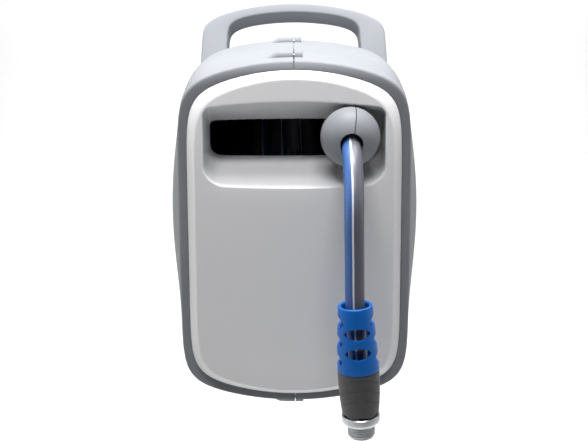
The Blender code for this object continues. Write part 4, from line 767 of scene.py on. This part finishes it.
def leaned_outline(depth, inset):
    """The outline near the rim, whose front leans back along the top."""
    outward = max(0, 1 - inset / RIM_WIDTH) * max(0, 1 - depth / TOP_LEAN_DEPTH)
    row = half_outline(depth, inset)
    for point in row:
        high = max(0, 1 + (point.z - RIM_TOP_Z) / TOP_LEAN_HEIGHT)
        point.y += TOP_LEAN * outward * min(high, 1) ** 2
    return row


def shell_rows():
    """Rows of points from the rear's outside to the rim's inner edge, and rows back inside."""
    edge = RIM_EDGE_RADIUS
    span = STRAIGHT_END - edge
    depths = [edge + span * (k / CASE_SPANS) ** 1.2 for k in range(CASE_SPANS + 1)]
    outer = [leaned_outline(depth, 0) for depth in depths]
    inner = [half_outline(depth, WALL) for depth in depths if depth > RIM_THICKNESS]
    inner_radius = REAR_ROUNDING - WALL
    for bend in quarter_turn(REAR_STEPS, 1):
        depth = STRAIGHT_END + REAR_ROUNDING * sin(bend)
        outer.append(half_outline(depth, REAR_ROUNDING * (1 - cos(bend))))
        inside = STRAIGHT_END + inner_radius * sin(bend)
        inner.append(half_outline(inside, REAR_ROUNDING - inner_radius * cos(bend), depth))
    roll = quarter_turn(4, 1)
    rim = [leaned_outline(edge * (1 - sin(a)), edge * (1 - cos(a))) for a in roll]
    rim.append(leaned_outline(0, RIM_WIDTH - RIM_INNER_EDGE))
    rim.append(half_outline(RIM_INNER_EDGE * 0.3, RIM_WIDTH - RIM_INNER_EDGE * 0.3))
    corners = ((RIM_INNER_EDGE, RIM_WIDTH), (RIM_THICKNESS, RIM_WIDTH), (RIM_THICKNESS, WALL))
    return outer[::-1] + rim, [half_outline(*corner) for corner in corners] + inner


def seam_row(row, outward):
    """A row whose ends stop at the seam, with a small chamfer there on the outside."""
    first = row[0].copy()
    last = row[-1].copy()
    first.x = last.x = SEAM_X
    over = [first.copy(), last.copy()]
    over[0].x = over[1].x = SEAM_X + SEAM_EDGE
    if outward:
        first.z -= SEAM_EDGE
        last.z += SEAM_EDGE
    return [first, over[0]] + row[1:-1] + [over[1], last]


def half_shell():
    """The wall of one shell, closed along the seam."""
    outside, inside = shell_rows()
    rows = [seam_row(row, True) for row in outside] + [seam_row(row, False) for row in inside]
    shape = bmesh.new()
    grid = [[shape.verts.new(point) for point in row] for row in rows]
    for near, far in zip(grid, grid[1:]):
        for k in range(len(near) - 1):
            shape.faces.new((near[k], near[k + 1], far[k + 1], far[k]))
    shape.faces.new(grid[0][::-1])
    shape.faces.new(grid[-1])
    shape.faces.new([row[0] for row in grid] + [row[-1] for row in reversed(grid)])
    return shape


def boss_ring(x, depth, height, outward, rise, inset=0.0):
    """The arched outline of a boss, rooted in the wall below it."""
    crown = case_crown(depth) if outward > 0 else BOTTOM_CROWN
    surface = height - outward * crown * (x / case_half_width(depth)) ** 2
    sunk = WALL * 0.8
    climb = BOSS_RISE * rise + sunk - inset
    ring = []
    for k in range(25):
        angle = pi * k / 24
        along = (BOSS_RADIUS - inset) * cos(angle)
        ring.append(spot(x, depth + along, surface - outward * sunk + outward * climb * sin(angle)))
    return ring


def left_boss(depth, height, outward):
    """The long half of a boss, which slopes down to the wall."""
    flat = BOSS_LEFT_LENGTH - BOSS_RAMP
    stations = [(SEAM_X, 1, SEAM_EDGE), (SEAM_X + SEAM_EDGE, 1, 0)]
    stations += [(flat * k / 4, 1, 0) for k in range(1, 5)]
    for k in range(1, 11):
        share = k / 10
        drop = 0.5 - 0.5 * cos(pi * (0.12 + 0.88 * share))
        stations.append((flat + BOSS_RAMP * share, 1 - 1.15 * drop, 0))
    return loft([boss_ring(x, depth, height, outward, rise, inset) for x, rise, inset in stations])


def right_boss(depth, height, outward):
    """The short half of a boss, with the screw's seat sunk in its flat end."""
    end = BOSS_RIGHT_LENGTH
    stations = [(SEAM_X, SEAM_EDGE), (SEAM_X + SEAM_EDGE, 0), (end * 0.5, 0)]
    stations += [(end - 0.0008, 0), (end - 0.0002, 0.0003), (end, 0.0009)]
    shape = loft([boss_ring(x, depth, height, outward, 1, inset) for x, inset in stations])
    axis_height = height + outward * (BOSS_RISE - SCREW_HEAD_RADIUS - 0.001)
    seat = rod(spot(SCREW_SEAT_X, depth, axis_height), RIGHT, SCREW_HEAD_RADIUS + GAP, 0.01, 32)
    return carve(shape, [seat])


def lug_shape(height):
    """Half of a hinge lug seen from above, with half of its bush's bore."""
    pin_depth = CASE_DEPTH + PIN_BEHIND_CASE
    root = CASE_DEPTH - WALL / 2
    plan = [(SEAM_X, root), (LUG_RADIUS, root)]
    for angle in quarter_turn(16)[:-1]:
        plan.append((LUG_RADIUS * cos(angle), pin_depth + LUG_RADIUS * sin(angle)))
    plan.append((SEAM_X, pin_depth + LUG_RADIUS))
    for angle in [pi / 2 - pi * k / 24 for k in range(25)]:
        plan.append((max(LUG_BORE * cos(angle), SEAM_X), pin_depth + LUG_BORE * sin(angle)))
    low = height - LUG_HEIGHT / 2
    return round_edges(prism([spot(x, depth, low) for x, depth in plan], UP * LUG_HEIGHT), LUG_EDGE)


def build_shell(name, side):
    """One half of the case, with its bosses and lugs. The left one has the inlet's hole."""
    shape = half_shell()
    if side < 0:
        start = spot(-INLET_X, DRUM_DEPTH, CASE_BOTTOM - WALL)
        shape = carve(shape, [rod(start, UP, INLET_PIPE_RADIUS + GAP, INLET_HOLE_HEIGHT, BORE_STEPS)])
    boss = right_boss if side > 0 else left_boss
    places = [(depth, case_top(depth), 1) for depth in BOSS_DEPTHS]
    places += [(BOTTOM_BOSS_DEPTH, CASE_BOTTOM, -1), (BOSS_DEPTHS[1], CASE_BOTTOM, -1)]
    lug_reach = (LUG_SPAN - LUG_HEIGHT) / 2
    lugs = [lug_shape(LUG_CENTRE + lug_reach), lug_shape(LUG_CENTRE - lug_reach)]
    whole = join_shapes(shape, *[boss(*place) for place in places], *lugs)
    if side < 0:
        bmesh.ops.transform(whole, matrix=Matrix.Diagonal((-1, 1, 1, 1)), verts=whole.verts)
    finish_shape(whole, "case_" + name, "slate_plastic", "case", "shell_" + name, 32)


# Fascia

def face_depth(x, height):
    """Depth of the fascia's face, which is gently crowned and leans back above its bend."""
    across = x / RIM_HALF_WIDTH
    bend = FACE_LEAN_HEIGHT - FACE_BEND_HEIGHT
    share = min(max((height - FACE_BEND_HEIGHT) / bend, 0), 1)
    lean = FACE_LEAN * (bend * share ** FACE_EASE / FACE_EASE + max(height - FACE_LEAN_HEIGHT, 0))
    low = max(FACE_BEND_HEIGHT - height, 0) / (FACE_BEND_HEIGHT - CASE_BOTTOM)
    return -FACE_PROUD + FACE_CROWN * across ** 2 + lean + FACE_FOOT * low ** 1.5


def rim_ring(inset, depth):
    return whole_ring(half_outline(depth, inset, 0))


def on_face(ring, behind=0.0):
    return [Vector((p.x, FRONT_Y + face_depth(p.x, p.z - RIM_TOP_Z) + behind, p.z)) for p in ring]


def hole_ring(half_width, top, bottom, corners, crown, grow=0.0, depth=0.0):
    """A rounded hole's outline across the face, let out by a margin."""
    corners = [corner + grow for corner in corners]

    def outline(angle):
        crowns = (crown, crown / 2)
        return rounded_point(angle, half_width + grow, top + grow, bottom - grow, corners, crowns)

    points = [outline(angle) for angle in spread_angles(outline)]
    return whole_ring([spot(x, depth, height) for x, height in points])


def recess_ring(grow=0.0):
    return hole_ring(RECESS_HALF_WIDTH, RECESS_TOP, RECESS_BOTTOM, RECESS_CORNERS, RECESS_CROWN, grow)


def slot_ring(grow, depth):
    return hole_ring(SLOT_HALF_WIDTH, SLOT_TOP, SLOT_BOTTOM, SLOT_CORNERS, SLOT_CROWN, grow, depth)


def between(first, second, share):
    return [a.lerp(b, share) for a, b in zip(first, second)]


def bevel_rings():
    """Rings up a short step and a broad chamfer, by shares of the way in and forward."""
    shares = [(0, 0), (0, 0.12), (0.02, 0.17), (0.08, 0.24), (0.3, 0.45)]
    shares += [(0.7, 0.8), (0.92, 0.965), (0.98, 0.99)]
    face = on_face(rim_ring(RIM_WIDTH + BEVEL_WIDTH, 0))
    rings = []
    for across, forward in shares:
        flat = rim_ring(RIM_WIDTH + GAP + (BEVEL_WIDTH - GAP) * across, 0)
        depths = [FRONT_Y + forward * (point.y - FRONT_Y) for point in face]
        rings.append([Vector((p.x, y, p.z)) for p, y in zip(flat, depths)])
    return rings


def fascia_front(bevel, mouth):
    """Rings from the fascia's flange over its face and into the slot."""
    lip = RECESS_LIP_RADIUS
    rings = [rim_ring(RIM_WIDTH + GAP, FLANGE_FRONT)] + bevel_rings()
    rings += [on_face(between(bevel, mouth, k / 14)) for k in range(15)]
    for angle in quarter_turn(5, 1)[:-1]:
        rings.append(on_face(recess_ring(lip * (1 - sin(angle))), lip * (1 - cos(angle))))
    throat = on_face(recess_ring(), lip)
    slot = slot_ring(SLOT_EDGE, SLOT_DEPTH)
    rings += [between(throat, slot, k / 8) for k in range(9)]
    return rings + [slot_ring(0, SLOT_DEPTH + 0.0005), slot_ring(0, SLOT_DEPTH + FASCIA_WALL)]


def build_fascia():
    lip = RECESS_LIP_RADIUS
    wall = FASCIA_WALL
    edge_inset = RIM_WIDTH + GAP + wall
    flange_inset = WALL + 2 * GAP
    flange_back = FLANGE_FRONT + wall
    bevel = rim_ring(RIM_WIDTH + BEVEL_WIDTH * 1.03, 0)
    mouth = recess_ring(lip)
    back = [
        slot_ring(wall, SLOT_DEPTH + wall),
        on_face(recess_ring(wall), lip + wall),
        on_face(between(bevel, mouth, 0.5), wall),
        on_face(bevel, wall),
        rim_ring(edge_inset, 0.001 + wall),
        rim_ring(edge_inset, flange_back),
        rim_ring(flange_inset, flange_back),
        rim_ring(flange_inset, FLANGE_FRONT),
    ]
    shape = loft(fascia_front(bevel, mouth) + back, loop=True)
    finish_shape(shape, "front_panel", "white_plastic", "case", "fascia", 24)


# Handle

HANDLE_LEAN = radians(22)
HANDLE_THICKNESS = 0.038
HANDLE_FRONT_DEPTH = 0.257
HANDLE_TOP = 0.0488
HANDLE_HALF_WIDTH = 0.111
HANDLE_TAPER = 0.030
HANDLE_BAR = 0.0126
HANDLE_LEG = 0.0305
HANDLE_CROWN = 0.020
HANDLE_FOOT = -0.078
HANDLE_EDGE = 0.0025
HANDLE_SQUARENESS = 8
HANDLE_BOSS_HALF_WIDTH = 0.0145
HANDLE_BOSS_RISE = 0.0035
HANDLE_BOSS_EDGE = 0.0008


def handle_point(across, upward, through):
    """A place on the handle, whose plane leans back."""
    lean_up = Vector((0, sin(HANDLE_LEAN), cos(HANDLE_LEAN)))
    lean_back = Vector((0, cos(HANDLE_LEAN), -sin(HANDLE_LEAN)))
    return spot(across, HANDLE_FRONT_DEPTH, 0) + lean_up * upward + lean_back * through


def handle_ring(inset, through, opening=False):
    """The handle's outline drawn in by an inset, or that of its opening."""
    leg, bar = (HANDLE_LEG, HANDLE_BAR) if opening else (0, 0)
    half_width = HANDLE_HALF_WIDTH - inset - leg
    top = HANDLE_TOP - inset - bar
    bottom = HANDLE_FOOT + inset + bar
    crowns = (HANDLE_CROWN * (half_width / HANDLE_HALF_WIDTH) ** 2, 0)

    def outline(angle):
        return squarish_point(angle, half_width, top, bottom, HANDLE_SQUARENESS, crowns, HANDLE_TAPER)

    points = [outline(angle) for angle in spread_angles(outline)]
    return whole_ring([handle_point(x, upward, through) for x, upward in points])


def case_envelope(clearance):
    """The case's outside as one solid, drawn out by a clearance."""
    depths = [STRAIGHT_END * k / CASE_SPANS for k in range(CASE_SPANS + 1)]
    rings = [whole_ring(half_outline(depth, -clearance)) for depth in depths]
    for bend in quarter_turn(REAR_STEPS, 1):
        depth = STRAIGHT_END + REAR_ROUNDING * sin(bend) + clearance
        inset = REAR_ROUNDING * (1 - cos(bend)) - clearance
        rings.append(whole_ring(half_outline(depth, inset, depth - clearance)))
    return loft(rings)


def handle_boss():
    """The boss on top of the bar, whose two ends round down to it."""
    reach = HANDLE_BOSS_HALF_WIDTH
    base = HANDLE_TOP - HANDLE_BAR / 2
    low = HANDLE_TOP - 0.001
    climb = HANDLE_BOSS_RISE + 0.001
    outline = [(-reach, base)]
    for k in range(21):
        share = min(1, 2.6 * sin(pi * k / 20)) ** 0.8
        outline.append((-reach + reach * 2 * k / 20, low + climb * share))
    outline.append((reach, base))
    places = (HANDLE_THICKNESS * 0.3, HANDLE_THICKNESS * 0.7)
    rings = [[handle_point(x, upward, through) for x, upward in outline] for through in places]
    return round_edges(loft(rings), HANDLE_BOSS_EDGE, angle=60)


def build_handle():
    edge = HANDLE_EDGE
    full = HANDLE_THICKNESS
    roll = quarter_turn(5)
    profile = [(edge * (1 - sin(a)), edge * (1 - cos(a))) for a in roll]
    profile += [(0, full * k / 5) for k in range(1, 5)]
    profile += [(edge * (1 - cos(a)), full - edge * (1 - sin(a))) for a in roll]
    rings = [handle_ring(inset, through) for inset, through in profile]
    rings += [handle_ring(-inset, through, opening=True) for inset, through in profile[::-1]]
    bar = carve(loft(rings, loop=True), [case_envelope(GAP)])
    shape = join_shapes(bar, handle_boss())
    # The handle wears the lighter copy of the slate plastic: painted light on its front
    finish_shape(shape, "carrying_handle", "handle_slate_painted_light", "case", "handle", 32)


# Ball stop

def ball_bores():
    """The hose's way through the ball, round a bend, with flared ends."""
    bore = HOSE_BORE
    mouth = sqrt(BALL_RADIUS ** 2 - bore ** 2)
    lip = BALL_LIP
    flare = [(0, mouth - lip), (bore, mouth - lip), (bore + lip * 0.5, mouth - lip * 0.35)]
    flare += [(bore + 2 * lip, mouth + lip), (0, mouth + lip)]
    mouth_way = forward_way(BALL_MOUTH_PITCH)
    mouth_start = BALL_CENTRE + mouth_way * BALL_RADIUS * 0.55
    bend = [(bore * sin(pi * k / 12), -bore * cos(pi * k / 12)) for k in range(1, 12)]
    return [
        rod(BALL_CENTRE, BACK, bore, 2 * BALL_RADIUS, BORE_STEPS),
        rod(BALL_CENTRE, EXIT_WAY, bore, 2 * BALL_RADIUS, BORE_STEPS),
        turned(flare, BALL_CENTRE, EXIT_WAY, BORE_STEPS),
        turned(flare, BALL_CENTRE, BACK, BORE_STEPS),
        rod(mouth_start, mouth_way, BALL_MOUTH_RADIUS, BALL_RADIUS, BORE_STEPS),
        turned([(0, -bore)] + bend + [(0, bore)], BALL_CENTRE, UP, 32),
    ]


def build_ball():
    """Both halves of the ball, which part along a groove that leans."""
    steps = 40
    radius = BALL_RADIUS
    across = Matrix.Rotation(BALL_ROLL, 3, EXIT_WAY) @ RIGHT
    angles = [pi * k / steps for k in range(1, steps)]
    profile = [(0, -radius)] + [(radius * sin(a), -radius * cos(a)) for a in angles] + [(0, radius)]
    far = 3 * radius
    cheek = [(0, -far), (2 * radius, -far), (2 * radius, SEAM_X), (0, SEAM_X)]
    groove = [(radius - 0.0009, 0), (radius + 0.001, -0.0014), (radius + 0.001, 0.0014)]
    for name, side in SIDES:
        tools = ball_bores()
        tools.append(turned(cheek, BALL_CENTRE, across * side, BORE_STEPS))
        tools.append(turned(groove, BALL_CENTRE, across, END_STEPS))
        shape = carve(turned(profile, BALL_CENTRE, across, 72), tools)
        finish_shape(shape, "ball_" + name, "slate_plastic", "hose_end", "ball_half_" + name, 30)


# Bend guard, grip and threaded end

def guard_radius(along):
    """Outside radius of the bend guard, which flares most near its top."""
    share = along / GUARD_LENGTH
    flare = 1.45 * share - 0.45 * share ** 2
    return GUARD_TOP_RADIUS + (GUARD_BOTTOM_RADIUS - GUARD_TOP_RADIUS) * flare


def guard_profile():
    """Outline of the guard's wall, with a rolled top and a ring at its foot."""
    wall = GUARD_WALL
    end = GUARD_LENGTH
    lip = wall / 2
    roll = [pi * k / 8 for k in range(9)]
    profile = [(GUARD_TOP_RADIUS - lip + lip * 1.25 * -cos(a), lip - lip * sin(a)) for a in roll]
    profile += [(guard_radius(end * k / 24), end * k / 24) for k in range(2, 24)]
    profile += [(GUARD_BOTTOM_RADIUS, end), (HOSE_BORE, end), (HOSE_BORE, end - GUARD_RING)]
    profile += [(guard_radius(end * k / 12) - wall, end * k / 12) for k in range(11, 1, -1)]
    return profile + [(GUARD_TOP_RADIUS - wall, 2 * GUARD_RING)]


def guard_windows():
    """Lens-shaped cutters in four columns, in step on opposite sides."""
    across, forward, down = frame_of(END_WAY)
    windows = []
    for column in range(4):
        angle = pi / 2 * column
        way = across * cos(angle) + forward * sin(angle)
        sideways = down.cross(way)
        for along in GUARD_FRONT_WINDOWS if abs(way.y) > 0.5 else GUARD_SIDE_WINDOWS:
            centre = end_spot(along) + way * (HOSE_BORE + 0.001)
            lens = []
            for a in [2 * pi * k / 40 for k in range(40)]:
                wide = GUARD_WINDOW_WIDTH / 2 * cos(a)
                tall = GUARD_WINDOW_HEIGHT / 2 * sin(a) * (1 - 0.18 * cos(a) ** 2)
                lens.append(centre + sideways * wide + down * tall)
            windows.append(prism(lens, way * GUARD_BOTTOM_RADIUS))
    return windows


def build_guard():
    """The perforated sleeve that keeps the hose from kinking."""
    sleeve = turned(guard_profile(), end_spot(0), END_WAY, END_STEPS)
    shape = round_edges(carve(sleeve, guard_windows()), GUARD_EDGE)
    return finish_shape(shape, "kink_guard", "blue_rubber", "hose_end", "bend_guard", 40)


def grip_radius(along):
    """Outside radius of the grip, which narrows faster towards its end."""
    share = along / GRIP_LENGTH
    return GRIP_RADIUS + 0.0002 * sin(pi * share) - (GRIP_RADIUS - GRIP_END_RADIUS) * share ** 2.4


def build_grip():
    """The soft grip, with nested curved grooves and a scalloped lower edge."""
    length = GRIP_LENGTH
    edge = 0.001
    rows = 90
    chamfer_rows = 3
    scallop_rows = 12
    span = length - 2 * edge
    profile = [(HOSE_BORE, 0), (GRIP_RADIUS - edge, 0), (GRIP_RADIUS - edge * 0.3, edge * 0.3)]
    profile += [(grip_radius(a), a) for a in [edge + span * k / rows for k in range(rows + 1)]]
    last = len(profile)
    profile += [(GRIP_END_RADIUS - edge * 0.3, length - edge * 0.3)]
    profile += [(GRIP_END_RADIUS - edge, length), (HOSE_BORE, length)]

    def shaped(index, radius, along, angle):
        rise = GRIP_GROOVE_RISE * sin(angle) ** 2
        if chamfer_rows <= index < last:
            for low in GRIP_GROOVES:
                off = abs(along - (low - rise)) / GRIP_GROOVE_WIDTH
                if off < 1:
                    radius -= GRIP_GROOVE_DEPTH * (0.5 + 0.5 * cos(pi * off))
        if index >= last - scallop_rows:
            share = min(1, (index - last + scallop_rows + 1) / (scallop_rows + 1))
            along -= GRIP_SCALLOP * (0.5 - 0.5 * cos(6 * angle)) * share
        return radius, along

    shape = turned(profile, end_spot(GUARD_LENGTH + GAP), END_WAY, 144, shaped)
    return finish_shape(shape, "soft_grip", "grip_rubber", "hose_end", "grip", 40)


def build_collar():
    """The metal ring below the grip, with a rounded shoulder."""
    edge = 0.0008
    inner = SPIGOT_RADIUS + GAP
    outer = COLLAR_RADIUS
    straight = COLLAR_LENGTH * 0.55
    shoulder = COLLAR_LENGTH - straight
    profile = [(inner, 0), (outer - edge, 0), (outer, edge), (outer, straight)]
    for angle in quarter_turn(6, 1):
        inward = shoulder * 0.9 * (1 - cos(angle))
        profile.append((outer - inward, straight + shoulder * sin(angle)))
    profile.append((inner, COLLAR_LENGTH))
    shape = turned(profile, end_spot(COLLAR_TOP), END_WAY, END_STEPS)
    return finish_shape(shape, "metal_collar", "plated_metal", "hose_end", "end_collar", 30)


def threaded(core, crest, start, end, pitch):
    """Profile points of a straight thread's ridges, from one end to the other."""
    points = []
    for k in range(int((end - start) / pitch)):
        base = start + pitch * k
        points += [(core, base), (core, base + pitch * 0.18), (crest, base + pitch * 0.44)]
        points += [(crest, base + pitch * 0.6), (core, base + pitch * 0.9)]
    return points


def build_spigot():
    """The hose's threaded end, inside the collar and below it."""
    length = COLLAR_LENGTH + SPIGOT_LENGTH
    crest = SPIGOT_RADIUS
    core = SPIGOT_RADIUS - 0.0012
    pitch = 0.0023
    edge = 0.0006
    profile = [(SPIGOT_BORE, 0), (crest, 0), (crest, COLLAR_LENGTH)]
    profile += threaded(core, crest, COLLAR_LENGTH, length - 0.0008, pitch)
    profile += [(core, length - edge), (core - edge, length), (SPIGOT_BORE + edge, length)]
    profile.append((SPIGOT_BORE, length - edge))
    rise = pitch / (2 * pi)

    def helix(index, radius, along, angle):
        inside = COLLAR_LENGTH + 0.001 < along < length - 0.003 and radius > SPIGOT_BORE
        return radius, along + (rise * (angle - pi) * 0.5 if inside else 0)

    shape = turned(profile, end_spot(COLLAR_TOP), END_WAY, END_STEPS, helix)
    return finish_shape(shape, "threaded_end", "plated_metal", "hose_end", "end_spigot", 25)


INLET_PIPE_END = -0.353
INLET_SEAL_WIDTH = 0.003


def build_inlet():
    """The threaded connector under the case that the supply hose screws to."""
    top = spot(INLET_X, DRUM_DEPTH, INLET_PIPE_END - 2 * GAP - INLET_SEAL_WIDTH)
    neck = 0.007 - GAP
    neck_top = -0.012
    bore = neck - 0.002
    flange = 0.0165
    flange_end = 0.003
    edge = 0.0005
    core = 0.0120
    length = 0.022
    profile = [(bore, neck_top), (neck, neck_top), (neck, 0), (flange - edge, 0), (flange, edge)]
    profile += [(flange, 0.0026), (0.0161, flange_end), (core, flange_end)]
    profile += threaded(core, 0.0132, 0.0045, length - 0.001, 0.0018)
    profile += [(core, length - 0.001), (core - 0.0008, length), (bore, length)]
    shape = turned(profile, top, -UP, 72)
    finish_shape(shape, "inlet_thread", "brass", "case", "inlet_spigot", 25)


# Kept frame nodes

def dress_frame():
    """Gives every frame node that stays in view its procedural material."""
    looks = {
        "slate_plastic": "wall_bracket",
        "steel": "swivel_pin guide_rod wind_screw axle guide_key idler_pin pawl_pin "
                 "case_screw_top_front case_screw_top_rear case_screw_bottom_front case_screw_bottom_rear",
        "gear_plastic": "drum_gear idler_gear screw_gear ratchet_ring latch_pawl spring_arbor "
                        "swivel_bush_upper swivel_bush_lower drum_bush_left drum_bush_right "
                        "screw_bearing_left screw_bearing_right guide_roller_left guide_roller_right",
        "inner_plastic": "pin_cap drum_hub guide_carriage spring_cassette spring_cover inlet_elbow "
                         "flange_left flange_right",
        "spring_steel": "power_spring",
        "brass": "hub_connector",
        "seal_rubber": "inlet_seal axle_seal_left axle_seal_right",
        "wound_core": "hose_core",
    }
    for look, names in looks.items():
        for name in names.split():
            for slot in bpy.data.objects[name].material_slots:
                slot.material = LOOKS[look]


# Light and floor

OBJECT_MIDDLE = (0, -0.45, 0.05)
# Each light's place, aim, width, height and power
LIGHTS = {
    "overhead": ((-0.05, -0.60, 1.45), (-0.05, -0.58, 0), 1.3, 0.6, 13),
    "handle_top": ((0, -0.42, 1.25), (0, -0.35, 0), 0.7, 0.2, 20),
    "left_side": ((-1.5, -0.55, 0.35), OBJECT_MIDDLE, 1.0, 1.4, 8),
    "right_side": ((1.5, -0.50, 0.35), OBJECT_MIDDLE, 1.0, 1.4, 5),
    "high_front": ((-0.1, -1.75, 1.9), OBJECT_MIDDLE, 1.2, 0.4, 28),
    "backdrop": ((0, 1.3, 2.6), (0, 2.6, -0.6), 4.0, 1.2, 158),
}
WORLD_STRENGTH = 0.02
FLOOR_LOW = -1.3
FLOOR_NEAR = -3.2
FLOOR_FAR = 3.4
FLOOR_HIGH = 3.2
FLOOR_SWEEP = 1.2
FLOOR_HALF_WIDTH = 4.5


def light_scene():
    world = bpy.data.worlds.new("studio")
    world.use_nodes = True
    background = world.node_tree.nodes["Background"]
    background.inputs["Color"].default_value = (1, 1, 1, 1)
    background.inputs["Strength"].default_value = WORLD_STRENGTH
    bpy.context.scene.world = world
    for name, (place, aim, width, height, power) in LIGHTS.items():
        data = bpy.data.lights.new(name, "AREA")
        data.shape = "RECTANGLE"
        data.size = width
        data.size_y = height
        data.energy = power
        light = add_object(name, data)
        light.location = place
        light.rotation_euler = (Vector(aim) - Vector(place)).to_track_quat("-Z", "Y").to_euler()
    bpy.context.scene.view_settings.view_transform = "Standard"


def build_stage():
    """A pale floor that curves up into a wall well behind the object."""
    start = FLOOR_FAR - FLOOR_SWEEP
    profile = [(FLOOR_NEAR, FLOOR_LOW), (start, FLOOR_LOW)]
    for angle in quarter_turn(12, 1):
        rise = FLOOR_SWEEP * (1 - cos(angle))
        profile.append((start + FLOOR_SWEEP * sin(angle), FLOOR_LOW + rise))
    profile.append((FLOOR_FAR, FLOOR_HIGH))
    shape = bmesh.new()
    sides = (-FLOOR_HALF_WIDTH, FLOOR_HALF_WIDTH)
    rows = [[shape.verts.new((x, y, z)) for x in sides] for y, z in profile]
    for first, second in zip(rows, rows[1:]):
        shape.faces.new((first[0], first[1], second[1], second[0]))
    mesh = mesh_from(shape, "floor")
    mesh.shade_smooth()
    mesh.materials.append(Shader("floor").finish(Base_Color=(0.92, 0.92, 0.92, 1), Roughness=0.9))
    add_object("floor", mesh)


# Build

place_camera()
LOOKS = make_materials()
build_hose([build_guard(), build_grip(), build_collar(), build_spigot()])
build_winding()
for side_name, side_sign in SIDES:
    build_shell(side_name, side_sign)
build_fascia()
build_handle()
build_ball()
build_inlet()
dress_frame()
light_scene()
build_stage()
